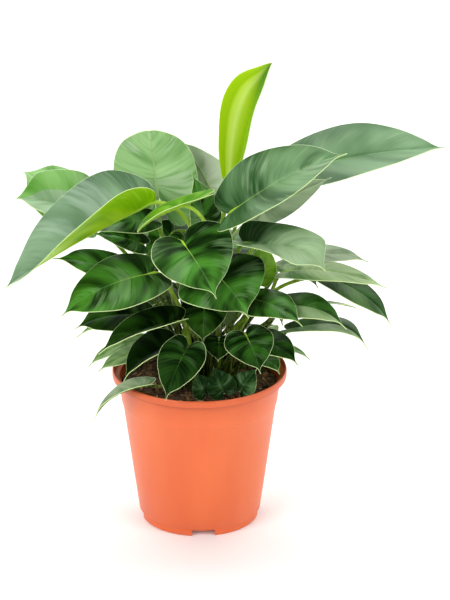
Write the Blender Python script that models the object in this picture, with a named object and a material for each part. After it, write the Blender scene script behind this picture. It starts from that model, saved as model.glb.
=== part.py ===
"""A potted congo apple philodendron: a bushy plant with heart-shaped and long pointed leaves in a round
tapered plastic grower's pot filled with potting mix.

Every leaf is one piece: a thin folded blade on its own petiole, which stands in a plain hole in the mix.
Lengths below are in millimetres, and MM turns them into Blender's metres. The origin is the middle of
the pot's underside, +Z is up, and the plant's front faces -Y.
"""

import math
from collections import namedtuple

import bmesh
import bpy
from mathutils import Matrix, Vector
from mathutils.kdtree import KDTree

MM = 0.001

# The pot
POT_HEIGHT = 160.0
LIP_RADIUS = 88.0
LIP_INNER_RADIUS = 86.2
LIP_HEIGHT = 8.0
WALL_THICKNESS = 1.6
WALL_TOP_RADIUS = 81.3
WALL_FOOT_RADIUS = 61.6
BAND_HEIGHT = 27.0
BAND_STEP = 0.8
FOOT_RADIUS = 59.3
FOOT_HEIGHT = 8.4
FOOT_THICKNESS = 2.6
FLOOR_UNDERSIDE = 5.0
FLOOR_TOP = 7.4
PAD_RADIUS = 16.0
NOTCH_WIDTH = 23.0
NOTCH_HEIGHT = 6.4
NOTCH_COUNT = 4
NOTCH_TURN = math.radians(4.0)
DRAIN_RADIUS = 4.5
DRAIN_CIRCLE_RADIUS = 42.0
DRAIN_COUNT = 8
DRAIN_SIDES = 8
POT_STEPS = 36

# The potting mix
SOIL_HEIGHT = 146.0
SOIL_EDGE_DROP = 3.0
SOIL_EDGE_WIDTH = 14.0
SOIL_GAP = 0.3

# The blades
BLADE_THICKNESS = 0.8
BLADE_COLUMNS = 4

# The petioles, from the hole in the mix to the end of the rib under the blade
PETIOLE_STEPS = 5
PETIOLE_RISE = 0.45
PETIOLE_REACH = 0.35
RIB_DEPTH = 1.9
RIB_RUN = 10.0
RIB_TAPER = 0.6
ROOT_SWELL = 1.12
ROOT_DEPTH = 12.0
ROOT_RISE = 4.0
ROOT_SPACING = 7.8
ROOT_PACKING = 0.56
ROOT_CENTRE = Vector((4.0, -2.0, 0.0))
HOLE_GAP = 0.35
HOLE_SIDES = 6

# How petioles that would touch are bent apart
SPREAD_ROUNDS = 60
SPREAD_MARKS = 12
SPREAD_GAP = 0.9
SPREAD_STEP = 0.5
SPREAD_LOOK = 8.0

# The front view that the leaves are placed on: a sheet of millimetres through VIEW_CENTRE, looked at
# from VIEW_DISTANCE away and VIEW_TILT above the horizon
VIEW_CENTRE = Vector((25.7, 0.0, 233.0))
VIEW_TILT = math.radians(21.75)
VIEW_DISTANCE = 3500.0
VIEW_RIGHT = Vector((1.0, 0.0, 0.0))
VIEW_UP = Vector((0.0, math.sin(VIEW_TILT), math.cos(VIEW_TILT)))
VIEW_NEAR = Vector((0.0, -math.cos(VIEW_TILT), math.sin(VIEW_TILT)))

# Half outlines of a flat blade. Each row says how far along the midrib the margin lies, how wide the
# half is there, and how far along the midrib its vein starts. The petiole meets the blade at 0 and the
# tip is at 1. TROUGH is for the long folded leaf, and QUILL for the young upright one.
HEART = (
    (0.00, 0.00, 0.00),
    (-0.13, 0.26, 0.03),
    (-0.11, 0.66, 0.07),
    (0.14, 1.00, 0.15),
    (0.42, 0.90, 0.30),
    (0.67, 0.54, 0.52),
    (0.88, 0.15, 0.78),
    (1.00, 0.00, 1.00),
)
BROAD = (
    (0.00, 0.00, 0.00),
    (-0.28, 0.20, 0.03),
    (-0.27, 0.62, 0.07),
    (0.04, 1.00, 0.14),
    (0.36, 0.96, 0.28),
    (0.64, 0.63, 0.50),
    (0.87, 0.17, 0.78),
    (1.00, 0.00, 1.00),
)
LONG = (
    (0.00, 0.00, 0.00),
    (-0.06, 0.26, 0.03),
    (-0.05, 0.62, 0.07),
    (0.18, 0.97, 0.16),
    (0.44, 0.97, 0.33),
    (0.69, 0.66, 0.55),
    (0.89, 0.20, 0.80),
    (1.00, 0.00, 1.00),
)
TROUGH = (
    (0.00, 0.00, 0.00),
    (-0.02, 0.24, 0.03),
    (0.04, 0.52, 0.08),
    (0.20, 0.87, 0.18),
    (0.42, 1.00, 0.34),
    (0.68, 0.79, 0.56),
    (0.88, 0.32, 0.80),
    (1.00, 0.00, 1.00),
)
QUILL = (
    (0.00, 0.00, 0.00),
    (0.00, 0.26, 0.03),
    (0.06, 0.46, 0.10),
    (0.25, 0.80, 0.24),
    (0.54, 1.00, 0.44),
    (0.78, 0.82, 0.66),
    (0.93, 0.28, 0.84),
    (1.00, 0.00, 1.00),
)
ROUND = (
    (0.00, 0.00, 0.00),
    (-0.46, 0.22, 0.02),
    (-0.54, 0.60, 0.04),
    (-0.12, 0.97, 0.10),
    (0.42, 0.97, 0.26),
    (0.79, 0.70, 0.50),
    (0.96, 0.28, 0.80),
    (1.00, 0.00, 1.00),
)
BLUNT = (
    (0.00, 0.00, 0.00),
    (-0.13, 0.26, 0.03),
    (-0.11, 0.66, 0.07),
    (0.14, 1.00, 0.15),
    (0.44, 0.98, 0.30),
    (0.72, 0.78, 0.52),
    (0.91, 0.38, 0.78),
    (1.00, 0.00, 1.00),
)
SHOULDER = (
    (0.00, 0.00, 0.00),
    (-0.10, 0.26, 0.03),
    (-0.06, 0.62, 0.07),
    (0.20, 0.86, 0.17),
    (0.50, 0.98, 0.34),
    (0.80, 0.92, 0.58),
    (0.97, 0.50, 0.82),
    (1.00, 0.00, 1.00),
)

# Colours, as linear red, green and blue
POT_ORANGE = (0.86, 0.20, 0.07)
MIX_BROWN = (0.035, 0.020, 0.012)
TONES = {
    "deep": (0.020, 0.095, 0.016),
    "mid": (0.060, 0.200, 0.030),
    "pale": (0.180, 0.330, 0.090),
    "lime": (0.420, 0.600, 0.020),
}

# base and tip are where the petiole meets the blade and where the blade ends, as millimetres right and
# up on the front view and then out from the pot's axis. width is across both halves. face is the way the
# upper side looks: right, up and near. fold is how many degrees the halves rise at the base and at the
# tip, and curl how many they bend back down on the way to the margin. arch lifts the midrib at one third
# and at two thirds. bend is the angle at which the petiole comes up under the blade, and stalk its
# radius.
Leaf = namedtuple(
    "Leaf",
    "name tone base tip width face fold arch curl form bend stalk",
    defaults=(55, 1.9),
)

LEAVES = (
    Leaf("leaf_top_new", "lime", (6, 116, -16), (47, 238, -6), 64, (-0.68, 0.23, 0.695),
         (38, 30), (-4, 16), 8, QUILL, 12, 2.3),
    Leaf("leaf_top_left", "mid", (-68, 109, -24), (-76, 170, 2), 83, (0.0, 0.62, -0.78),
         (12, 4), (4, 8), 16, ROUND, 40),
    Leaf("leaf_top_middle", "mid", (-12, 108, -44), (-48, 161, -22), 56, (0.3, 0.6, -0.75),
         (12, 6), (4, 8), 16, HEART, 30),
    Leaf("leaf_top_right", "deep", (60, 124, -46), (221, 153, -12), 98, (-0.16, 0.79, 0.60),
         (25, 12), (13, 9), 22, LONG, 50, 2.3),
    Leaf("leaf_top_right_near", "deep", (3, 86, 44), (122, 147, 62), 89, (-0.37, 0.65, 0.66),
         (24, 12), (10, 12), 16, LONG, 50, 2.1),
    Leaf("leaf_top_right_under", "mid", (32, 86, 8), (107, 123, 32), 36, (0.1, 0.50, -0.85),
         (6, 4), (4, 6), 10, HEART, 15),
    Leaf("leaf_left_long", "deep", (-70, 99, 26), (-222, 11, 48), 124, (-0.47, 0.79, 0.39),
         (61, 12), (6, 6), 16, TROUGH, 35, 2.4),
    Leaf("leaf_left_high", "mid", (-133, 80, -76), (-203, 130, -92), 72, (0.40, 0.42, 0.81),
         (22, -6), (4, 4), 12, BLUNT, -15),
    Leaf("leaf_left_high_near", "mid", (-135, 88, -46), (-211, 102, -46), 80, (0.154, 0.727, 0.669),
         (26, 34), (4, 6), 16, BLUNT, 40),
    Leaf("leaf_left_shaded", "deep", (-74, 80, 4), (-138, 66, 16), 44, (-0.1, 0.80, 0.60),
         (10, 6), (6, 8), 16, HEART, 50),
    Leaf("leaf_left_inner", "deep", (-82, 56, -24), (-134, 66, -20), 30, (-0.1, 0.6, 0.8),
         (10, 6), (6, 8), 16, HEART, 45),
    Leaf("leaf_left_dark", "deep", (-86, 18, 32), (-173, 42, 50), 48, (-0.1, 0.70, 0.70),
         (14, 6), (8, 12), 16, LONG, 20),
    Leaf("leaf_left_front", "deep", (-67, 28, 70), (-165, -17, 96), 76, (-0.25, 0.66, 0.70),
         (6, 4), (14, 18), 16, LONG, 55, 2.1),
    Leaf("leaf_left_low", "mid", (-76, -15, 28), (-151, -29, 38), 50, (-0.2, 0.66, 0.70),
         (8, 4), (10, 15), 14, LONG),
    Leaf("leaf_left_low_back", "mid", (-70, -15, -6), (-150, -38, 8), 20, (-0.2, 0.8, 0.6),
         (8, 4), (12, 16), 14, LONG, 50),
    Leaf("leaf_left_narrow", "deep", (-44, -20, 66), (-127, -54, 80), 45, (-0.3, 0.80, 0.50),
         (34, 18), (8, 12), 10, LONG, 50),
    Leaf("leaf_left_rim", "deep", (-54, -45, 42), (-102, -81, 64), 56, (-0.52, 0.70, 0.50),
         (30, 14), (8, 12), 10, HEART),
    Leaf("leaf_left_pale", "pale", (-82, -38, -14), (-138, -67, 4), 26, (-0.3, 0.8, 0.5),
         (10, 6), (6, 8), 14, LONG, 50),
    Leaf("leaf_left_pale_near", "mid", (-74, -50, 16), (-128, -72, 34), 32, (-0.3, 0.8, 0.5),
         (10, 6), (6, 8), 14, LONG, 50),
    Leaf("leaf_over_rim", "mid", (-75, -84, 68), (-132, -121, 56), 26, (-0.5, 0.8, 0.3),
         (24, 14), (11.5, 15.5), 4, LONG, 35, 1.5),
    Leaf("leaf_centre_front", "deep", (-43, 59, 73), (-8, 1, 108), 93, (0.36, 0.40, 0.85),
         (18, 8), (4, 6), 14, HEART, 55, 2.1),
    Leaf("leaf_centre_low", "deep", (-12, 29, 66), (24, -18, 98), 102, (0.22, 0.62, 0.75),
         (8, 4), (6, 8), 14, HEART, 55, 2.1),
    Leaf("leaf_centre_dark", "deep", (-20, 0, 46), (-23, -44, 68), 46, (0.0, 0.5, 0.86),
         (8, 4), (6, 6), 14, HEART, 50),
    Leaf("leaf_centre_small", "deep", (-6, -38, 62), (-7, -63, 78), 30, (0.0, 0.5, 0.86),
         (8, 4), (4, 4), 14, HEART, 50, 1.6),
    Leaf("leaf_centre_lime", "lime", (-40, 96, 46), (-88, 68, 49), 34, (-0.52, 0.82, 0.22),
         (20, 14), (4, 6), 6, ROUND, 50),
    Leaf("leaf_centre_upright", "mid", (-20, 72, 6), (-33, 127, 12), 40, (0.5, 0.1, 0.86),
         (18, 8), (4, 6), 10, HEART, 25),
    Leaf("leaf_centre_rolled", "lime", (31, 18, 26), (37, 60, 30), 36, (0.35, -0.05, 0.93),
         (30, 26), (2, 4), 8, LONG, 12, 1.7),
    Leaf("leaf_right_folded", "deep", (18, 58, 36), (101, 29, 80), 68, (0.28, 0.77, 0.57),
         (30, 12), (4, 28), 20, SHOULDER, 75, 2.1),
    Leaf("leaf_right_grey", "mid", (58, 41, -34), (145, 38, -12), 42, (0.1, 0.86, 0.50),
         (10, 4), (8, 13), 16, LONG, 50),
    Leaf("leaf_right_light", "mid", (56, 28, 14), (163, 12, 40), 46, (0.15, 0.86, 0.45),
         (8, 4), (14, 10), 14, LONG),
    Leaf("leaf_right_arched", "mid", (99, 24, 6), (167, -26, 24), 48, (0.3, 0.80, 0.50),
         (8, 4), (11, 15), 14, LONG, 15),
    Leaf("leaf_right_front", "deep", (25, 2, 54), (78, -26, 84), 60, (0.35, 0.70, 0.61),
         (5, 3), (8, 10), 14, HEART),
    Leaf("leaf_right_behind", "mid", (56, -4, 40), (122, -29, 66), 52, (0.3, 0.75, 0.60),
         (8, 4), (9, 17), 14, HEART),
    Leaf("leaf_right_low", "mid", (62, -29, 20), (144, -50, 46), 56, (0.2, 0.92, 0.33),
         (10, 4), (13, 33), 14, LONG),
    Leaf("leaf_right_heart", "deep", (20, -33, 76), (36, -74, 102), 50, (0.15, 0.45, 0.88),
         (8, 4), (6, 6), 16, HEART),
    Leaf("leaf_right_heart_back", "deep", (30, -38, 50), (74, -66, 80), 48, (0.25, 0.75, 0.60),
         (10, 4), (8, 10), 14, HEART, 50),
    Leaf("leaf_right_tip", "pale", (50, -47, 4), (86, -60, 24), 14, (0.25, 0.8, 0.55),
         (10, 4), (6, 8), 14, HEART, 50, 1.6),
    Leaf("leaf_pot_right", "mid", (38, -58, 36), (55, -74, 54), 24, (0.25, 0.7, 0.65),
         (10, 4), (4, 6), 14, HEART, 50, 1.5),
    Leaf("leaf_front_heart", "deep", (-37, -46, 78), (-60, -101, 104), 48, (-0.2, 0.45, 0.87),
         (10, 4), (6, 8), 14, HEART),
    Leaf("leaf_pot_front_left", "deep", (-19, -94, 62), (-30, -72, 56), 24, (0.0, 0.35, 0.93),
         (10, 4), (3, 2), 14, HEART, 80, 1.5),
    Leaf("leaf_pot_front_middle", "deep", (-1, -93, 62), (-12, -66, 54), 30, (-0.1, 0.35, 0.93),
         (10, 4), (3, 2), 14, HEART, 80, 1.5),
    Leaf("leaf_pot_front_right", "deep", (15, -91, 58), (32, -68, 50), 27, (-0.15, 0.35, 0.92),
         (14, 6), (3, 2), 14, HEART, 80, 1.5),
    Leaf("leaf_inner_high", "deep", (-52, 68, -38), (-80, 37, -38), 40, (-0.1, 0.4, 0.91),
         (8, 4), (4, 6), 14, HEART, 40),
    Leaf("leaf_back_high_left", "mid", (-26, 94, -58), (-54, 120, -122), 62, (-0.2, 0.95, -0.1),
         (14, 6), (8, 10), 18, HEART, 50),
    Leaf("leaf_back_high_right", "mid", (14, 92, -56), (34, 122, -130), 60, (0.2, 0.95, -0.1),
         (14, 6), (8, 10), 18, HEART, 50),
    Leaf("leaf_back_mid_left", "deep", (-56, 68, -70), (-84, 92, -152), 68, (-0.2, 0.9, -0.3),
         (12, 6), (10, 14), 18, BROAD, 55, 2.1),
    Leaf("leaf_back_middle", "deep", (-1, 47, -77), (16, 68, -170), 76, (0.1, 0.9, -0.3),
         (12, 6), (10, 14), 18, BROAD, 55, 2.1),
    Leaf("leaf_back_left", "deep", (-48, 14, -72), (-84, -28, -122), 60, (-0.3, 0.72, -0.62),
         (12, 6), (10, 14), 18, HEART),
    Leaf("leaf_back_right", "deep", (50, 34, -62), (94, 12, -126), 62, (0.3, 0.72, -0.62),
         (12, 6), (10, 14), 18, HEART),
    Leaf("leaf_back_low_left", "deep", (-46, -6, -78), (-74, -50, -116), 56, (-0.25, 0.66, -0.7),
         (12, 6), (10, 14), 18, HEART),
    Leaf("leaf_back_low_right", "deep", (39, 6, -66), (58, -26, -110), 48, (0.25, 0.66, -0.7),
         (12, 6), (10, 14), 18, HEART),
    Leaf("leaf_back_low_middle", "deep", (-4, 6, -76), (-8, -40, -116), 56, (0.0, 0.66, -0.75),
         (12, 6), (8, 12), 18, HEART),
    Leaf("leaf_back_rim_left", "mid", (-16, -28, -62), (-38, -34, -124), 42, (-0.2, 0.9, -0.3),
         (12, 6), (8, 10), 16, HEART, 50),
    Leaf("leaf_back_rim_right", "mid", (26, -28, -56), (54, -36, -106), 36, (0.2, 0.9, -0.3),
         (12, 6), (8, 10), 16, HEART, 50),
    Leaf("leaf_back_side_left", "mid", (-60, -18, -36), (-132, -24, -72), 40, (-0.3, 0.9, 0.0),
         (12, 6), (8, 12), 16, LONG, 50),
    Leaf("leaf_back_side_right", "mid", (54, -9, -30), (138, -10, -62), 36, (0.3, 0.9, 0.0),
         (12, 6), (8, 12), 16, LONG, 50),
)


def seen(right, up, out):
    """The point at that place on the front view, standing out from the pot's axis towards the eye."""
    eye = VIEW_CENTRE + VIEW_NEAR * VIEW_DISTANCE
    ray = VIEW_CENTRE + VIEW_RIGHT * right + VIEW_UP * up - eye
    return eye + ray * ((-out - eye.y) / ray.y)


def towards(right, up, near):
    """The direction that points right, up and near on the front view."""
    return (VIEW_RIGHT * right + VIEW_UP * up + VIEW_NEAR * near).normalized()


def square_to(direction, axis):
    """The direction turned the least way that makes it square to the axis."""
    return (direction - axis * direction.dot(axis)).normalized()


def curve_point(points, t):
    """A point on a cubic Bezier curve."""
    a, b, c, d = points
    return a * (1 - t) ** 3 + b * 3 * t * (1 - t) ** 2 + c * 3 * t * t * (1 - t) + d * t ** 3


def curve_heading(points, t):
    """The way a cubic Bezier curve runs at t."""
    a, b, c, d = points
    slope = (b - a) * (1 - t) ** 2 + (c - b) * 2 * t * (1 - t) + (d - c) * t * t
    return slope.normalized()


def midrib(leaf):
    """The four control points of a leaf's midrib, and the way its upper side faces."""
    base = seen(*leaf.base)
    tip = seen(*leaf.tip)
    run = tip - base
    face = square_to(towards(*leaf.face), run.normalized())
    first = base + run / 3 + face * leaf.arch[0]
    second = base + run * 2 / 3 + face * leaf.arch[1]
    return (base, first, second, tip), face


def blade_point(leaf, along, across):
    """A point on a blade's upper side: along the midrib from 0 to 1, and across from -1 to 1."""
    points, face = midrib(leaf)
    t = max(along, 0.0)
    heading = curve_heading(points, t)
    spot = curve_point(points, t)
    if along < 0:
        spot = spot + heading * along * (points[3] - points[0]).length
    up = square_to(face, heading)
    side = up.cross(heading)
    half = leaf.width / 2
    fold = math.radians(leaf.fold[0] + (leaf.fold[1] - leaf.fold[0]) * t)
    bend = math.radians(leaf.curl) / half
    turned = fold - bend * abs(across) * half
    outward = (math.sin(fold) - math.sin(turned)) / bend
    lift = (math.cos(turned) - math.cos(fold)) / bend
    return spot + side * math.copysign(outward, across) + up * lift


def material(name, colour, roughness):
    """A plain material, made once."""
    made = bpy.data.materials.get(name)
    if made is None:
        made = bpy.data.materials.new(name)
        made.use_nodes = True
        shader = made.node_tree.nodes["Principled BSDF"]
        shader.inputs["Base Color"].default_value = (*colour, 1.0)
        shader.inputs["Roughness"].default_value = roughness
        shader.inputs["Metallic"].default_value = 0.0
    return made


def add_object(name, shape, place=Vector(), finish=None):
    """An object made from a bmesh in metres, placed at a point in millimetres."""
    mesh = bpy.data.meshes.new(name)
    shape.to_mesh(mesh)
    shape.free()
    item = bpy.data.objects.new(name, mesh)
    item.location = place * MM
    bpy.context.collection.objects.link(item)
    if finish:
        mesh.materials.append(finish)
    return item


def combine(item, helper, operation):
    """Join a helper to an object, or cut it away, and keep the helper out of the renders."""
    helper.hide_render = True
    helper.display_type = "WIRE"
    step = item.modifiers.new(operation.title(), "BOOLEAN")
    step.operation = operation
    step.solver = "EXACT"
    step.object = helper


def turned_solid(name, profile, finish):
    """A solid turned about the pot's axis. Its half outline runs from the axis at the top, in or out,
    down the outer side and back to the axis."""
    shape = bmesh.new()
    corners = [shape.verts.new((radius * MM, 0.0, height * MM)) for radius, height in profile]
    for first, second in zip(corners, corners[1:]):
        shape.edges.new((first, second))
    item = add_object(name, shape, finish=finish)
    turn = item.modifiers.new("Turn", "SCREW")
    turn.steps = POT_STEPS
    turn.render_steps = POT_STEPS
    turn.use_merge_vertices = True
    turn.merge_threshold = 0.00001
    turn.use_smooth_shade = True
    return item


def upright_pins(name, pins, sides):
    """Upright cylinders in one helper, each given as x, y, low, high and radius."""
    shape = bmesh.new()
    for x, y, low, high, radius in pins:
        bmesh.ops.create_cone(
            shape,
            cap_ends=True,
            segments=sides,
            radius1=radius * MM,
            radius2=radius * MM,
            depth=(high - low) * MM,
            matrix=Matrix.Translation(Vector((x, y, (low + high) / 2)) * MM),
        )
    return add_object(name, shape)


def wall_radius(height):
    """The radius of the pot's outer wall at a height, leaving out the band."""
    low = FOOT_HEIGHT
    high = POT_HEIGHT - LIP_HEIGHT
    return WALL_FOOT_RADIUS + (WALL_TOP_RADIUS - WALL_FOOT_RADIUS) * (height - low) / (high - low)


def pot_profile():
    """The pot's half outline: floor, inner wall, stepped lip, outer wall with its band, foot and pad."""
    under = POT_HEIGHT - LIP_HEIGHT
    band = under - BAND_HEIGHT
    return (
        (0.0, FLOOR_TOP),
        (wall_radius(FLOOR_TOP) - WALL_THICKNESS - 0.4, FLOOR_TOP),
        (WALL_TOP_RADIUS - WALL_THICKNESS, under + 0.6),
        (LIP_INNER_RADIUS - 1.0, under + 1.8),
        (LIP_INNER_RADIUS, POT_HEIGHT - 0.3),
        (LIP_RADIUS - 0.7, POT_HEIGHT),
        (LIP_RADIUS, POT_HEIGHT - 1.4),
        (LIP_RADIUS, under + 1.2),
        (LIP_RADIUS - 1.0, under),
        (WALL_TOP_RADIUS + BAND_STEP, under - 1.0),
        (wall_radius(band) + BAND_STEP, band + 0.6),
        (wall_radius(band), band),
        (WALL_FOOT_RADIUS, FOOT_HEIGHT),
        (FOOT_RADIUS + 0.3, FOOT_HEIGHT - 0.6),
        (FOOT_RADIUS, 0.0),
        (FOOT_RADIUS - FOOT_THICKNESS, 0.0),
        (FOOT_RADIUS - FOOT_THICKNESS - 0.4, FLOOR_UNDERSIDE),
        (PAD_RADIUS + 0.6, FLOOR_UNDERSIDE),
        (PAD_RADIUS, 0.0),
        (0.0, 0.0),
    )


def notch_blocks():
    """The blocks that cut the drainage notches into the foot ring."""
    shape = bmesh.new()
    inside = FOOT_RADIUS - FOOT_THICKNESS - 4
    outside = LIP_RADIUS
    for k in range(NOTCH_COUNT):
        angle = -math.pi / 2 + NOTCH_TURN + 2 * math.pi * k / NOTCH_COUNT
        turn = Matrix.Rotation(angle, 4, "Z")
        place = Matrix.Translation(Vector(((inside + outside) / 2, 0.0, 0.0)) * MM)
        size = Matrix.Diagonal((*(Vector((outside - inside, NOTCH_WIDTH, NOTCH_HEIGHT * 2)) * MM), 1.0))
        bmesh.ops.create_cube(shape, size=1.0, matrix=turn @ place @ size)
    return add_object("notch_cutter", shape)


def make_pot():
    """The pot, with its notches and drain holes."""
    pot = turned_solid("pot", pot_profile(), material("Orange plastic", POT_ORANGE, 0.42))
    combine(pot, notch_blocks(), "DIFFERENCE")
    drains = []
    for k in range(DRAIN_COUNT):
        angle = NOTCH_TURN + 2 * math.pi * (k + 0.5) / DRAIN_COUNT
        x = DRAIN_CIRCLE_RADIUS * math.cos(angle)
        y = DRAIN_CIRCLE_RADIUS * math.sin(angle)
        drains.append((x, y, FLOOR_UNDERSIDE - 2, FLOOR_TOP + 2, DRAIN_RADIUS))
    combine(pot, upright_pins("drain_cutter", drains, DRAIN_SIDES), "DIFFERENCE")


def make_soil(spots):
    """The potting mix, with a plain hole for each petiole."""
    edge = SOIL_HEIGHT - SOIL_EDGE_DROP
    inset = WALL_THICKNESS + SOIL_GAP
    profile = (
        (0.0, SOIL_HEIGHT),
        (wall_radius(edge) - inset - SOIL_EDGE_WIDTH, SOIL_HEIGHT),
        (wall_radius(edge) - inset - 0.3, edge),
        (wall_radius(FLOOR_TOP) - inset - 0.6, FLOOR_TOP + SOIL_GAP),
        (0.0, FLOOR_TOP + SOIL_GAP),
    )
    soil = turned_solid("soil", profile, material("Potting mix", MIX_BROWN, 0.95))
    holes = []
    for leaf in LEAVES:
        spot = spots[leaf.name]
        radius = (leaf.stalk * ROOT_SWELL + HOLE_GAP) / math.cos(math.pi / HOLE_SIDES)
        holes.append((spot.x, spot.y, SOIL_HEIGHT - ROOT_DEPTH - HOLE_GAP, SOIL_HEIGHT + ROOT_RISE, radius))
    combine(soil, upright_pins("hole_cutter", holes, HOLE_SIDES), "DIFFERENCE")


def root_spots():
    """Where each leaf stands in the mix. The spots are packed like seeds in a sunflower, and the lowest
    leaf chooses first, taking the free spot nearest the edge of the clump that lies towards its blade."""
    turn = math.pi * (3 - math.sqrt(5))
    pitch = ROOT_SPACING * ROOT_PACKING
    free = []
    for i in range(len(LEAVES)):
        way = Vector((math.cos(i * turn), math.sin(i * turn), 0.0))
        free.append(ROOT_CENTRE + way * pitch * math.sqrt(i + 0.5))
    bases = {leaf.name: seen(*leaf.base) for leaf in LEAVES}
    order = sorted(bases, key=lambda name: bases[name].z)
    spots = {}
    for rank, name in enumerate(order):
        way = bases[name] - ROOT_CENTRE
        way.z = 0.0
        wish = ROOT_CENTRE + way.normalized() * pitch * math.sqrt(len(order) - rank)
        best = min(free, key=lambda spot: (spot - wish).length)
        free.remove(best)
        spots[name] = best
    return spots


def petiole_path(leaf, root):
    """The petiole's points, from the bottom of its hole up and along under the midrib."""
    points, face = midrib(leaf)
    heading = curve_heading(points, 0.0)
    up = square_to(face, heading)
    end = points[0] - up * RIB_DEPTH
    bend = math.radians(leaf.bend)
    arrival = heading * math.cos(bend) + up * math.sin(bend)
    start = Vector((root.x, root.y, SOIL_HEIGHT + ROOT_RISE))
    reach = (end - start).length
    rise = start + Vector((0.0, 0.0, reach * PETIOLE_RISE))
    curve = (start, rise, end - arrival * reach * PETIOLE_REACH, end)
    path = [Vector((root.x, root.y, SOIL_HEIGHT - ROOT_DEPTH))]
    for i in range(PETIOLE_STEPS + 1):
        path.append(curve_point(curve, i / PETIOLE_STEPS))
    path.append(end + heading * RIB_RUN + up * leaf.stalk * RIB_TAPER / 2)
    return path


def petiole_radii(leaf):
    """The petiole's radius at each point of its path."""
    swell = leaf.stalk * ROOT_SWELL
    slim = [swell + (leaf.stalk - swell) * i / PETIOLE_STEPS for i in range(PETIOLE_STEPS + 1)]
    return [swell, *slim, leaf.stalk * RIB_TAPER]


def petiole_marks(paths, radii):
    """Marks along every petiole: its leaf, the step of its path, how far along that, where and how thick."""
    marks = []
    for name, path in paths.items():
        for i in range(1, len(path) - 1):
            for k in range(SPREAD_MARKS):
                part = k / SPREAD_MARKS
                marks.append((name, i, part, path[i].lerp(path[i + 1], part), radii[name][i]))
    return marks


def spread_petioles(paths, radii):
    """Bend petioles that would touch a little sideways, round after round, until they pass clear of each
    other. Their ends at the mix and at the blade stay where they are."""
    for _ in range(SPREAD_ROUNDS):
        marks = petiole_marks(paths, radii)
        tree = KDTree(len(marks))
        for index, mark in enumerate(marks):
            tree.insert(mark[3], index)
        tree.balance()
        pushes = {}
        for name, i, part, spot, thick in marks:
            for near, index, distance in tree.find_range(spot, SPREAD_LOOK):
                short = thick + marks[index][4] + SPREAD_GAP - distance
                if marks[index][0] == name or short <= 0:
                    continue
                away = spot - near
                away.z = 0.0
                for point, share in ((i, 1 - part), (i + 1, part)):
                    push = away.normalized() * short * share
                    weaker = pushes.get((name, point), Vector())
                    if 2 <= point <= len(paths[name]) - 3 and push.length > weaker.length:
                        pushes[name, point] = push
        if not pushes:
            break
        for (name, point), push in pushes.items():
            paths[name][point] += push * SPREAD_STEP


def make_petiole(name, path, radii, place):
    """The petiole, as a bevelled curve turned into a closed mesh."""
    curve = bpy.data.curves.new(name, "CURVE")
    curve.dimensions = "3D"
    curve.bevel_depth = MM
    curve.bevel_resolution = 0
    curve.use_fill_caps = True
    spline = curve.splines.new("POLY")
    spline.points.add(len(path) - 1)
    for point, spot, radius in zip(spline.points, path, radii):
        point.co = (*((spot - place) * MM), 1.0)
        point.radius = radius
    guide = bpy.data.objects.new(name, curve)
    shape = bmesh.new()
    shape.from_mesh(bpy.data.meshes.new_from_object(guide))
    bpy.data.objects.remove(guide)
    bmesh.ops.remove_doubles(shape, verts=shape.verts, dist=0.01 * MM)
    return add_object(name, shape, place)


def make_blade(leaf, place):
    """The folded blade: a grid laid over its outline, given a thickness."""
    rows = leaf.form
    shape = bmesh.new()
    bmesh.ops.create_grid(shape, x_segments=BLADE_COLUMNS, y_segments=len(rows) - 1, size=1.0)
    for vert in shape.verts:
        across = -vert.co.x
        margin, wide, vein = rows[round((vert.co.y + 1) / 2 * (len(rows) - 1))]
        along = vein + (margin - vein) * abs(across)
        vert.co = (blade_point(leaf, along, wide * across) - place) * MM
    bmesh.ops.remove_doubles(shape, verts=shape.verts, dist=0.01 * MM)
    bmesh.ops.triangulate(shape, faces=shape.faces)
    blade = add_object(leaf.name, shape, place, material("Leaf " + leaf.tone, TONES[leaf.tone], 0.38))
    thick = blade.modifiers.new("Thickness", "SOLIDIFY")
    thick.thickness = BLADE_THICKNESS * MM
    thick.offset = -1.0
    return blade


def make_leaves(spots):
    """Every leaf: its blade with its petiole joined on, placed by where it stands in the mix."""
    paths = {leaf.name: petiole_path(leaf, spots[leaf.name]) for leaf in LEAVES}
    radii = {leaf.name: petiole_radii(leaf) for leaf in LEAVES}
    spread_petioles(paths, radii)
    for leaf in LEAVES:
        place = spots[leaf.name] + Vector((0.0, 0.0, SOIL_HEIGHT))
        blade = make_blade(leaf, place)
        petiole = make_petiole(leaf.name + "_petiole", paths[leaf.name], radii[leaf.name], place)
        combine(blade, petiole, "UNION")


def main():
    for item in list(bpy.data.objects):
        bpy.data.objects.remove(item, do_unlink=True)
    spots = root_spots()
    make_pot()
    make_soil(spots)
    make_leaves(spots)


if __name__ == "__main__":
    main()
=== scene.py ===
"""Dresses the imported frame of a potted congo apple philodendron: a bushy plant with glossy heart-shaped
and long pointed leaves, in a round tapered plastic grower's pot of bark mix.

It is laid out as an add-on, with one operator for each piece or group of like pieces and one for the
stage, and is run as a script. Lengths in the tables are millimetres, and MM turns them into metres. The
origin is the middle of the pot's underside, +Z is up and the plant's front faces -Y.
"""

import math
import random
from collections import namedtuple
from functools import partial

import bpy
from mathutils import Euler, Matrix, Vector, noise
from mathutils.kdtree import KDTree


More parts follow.
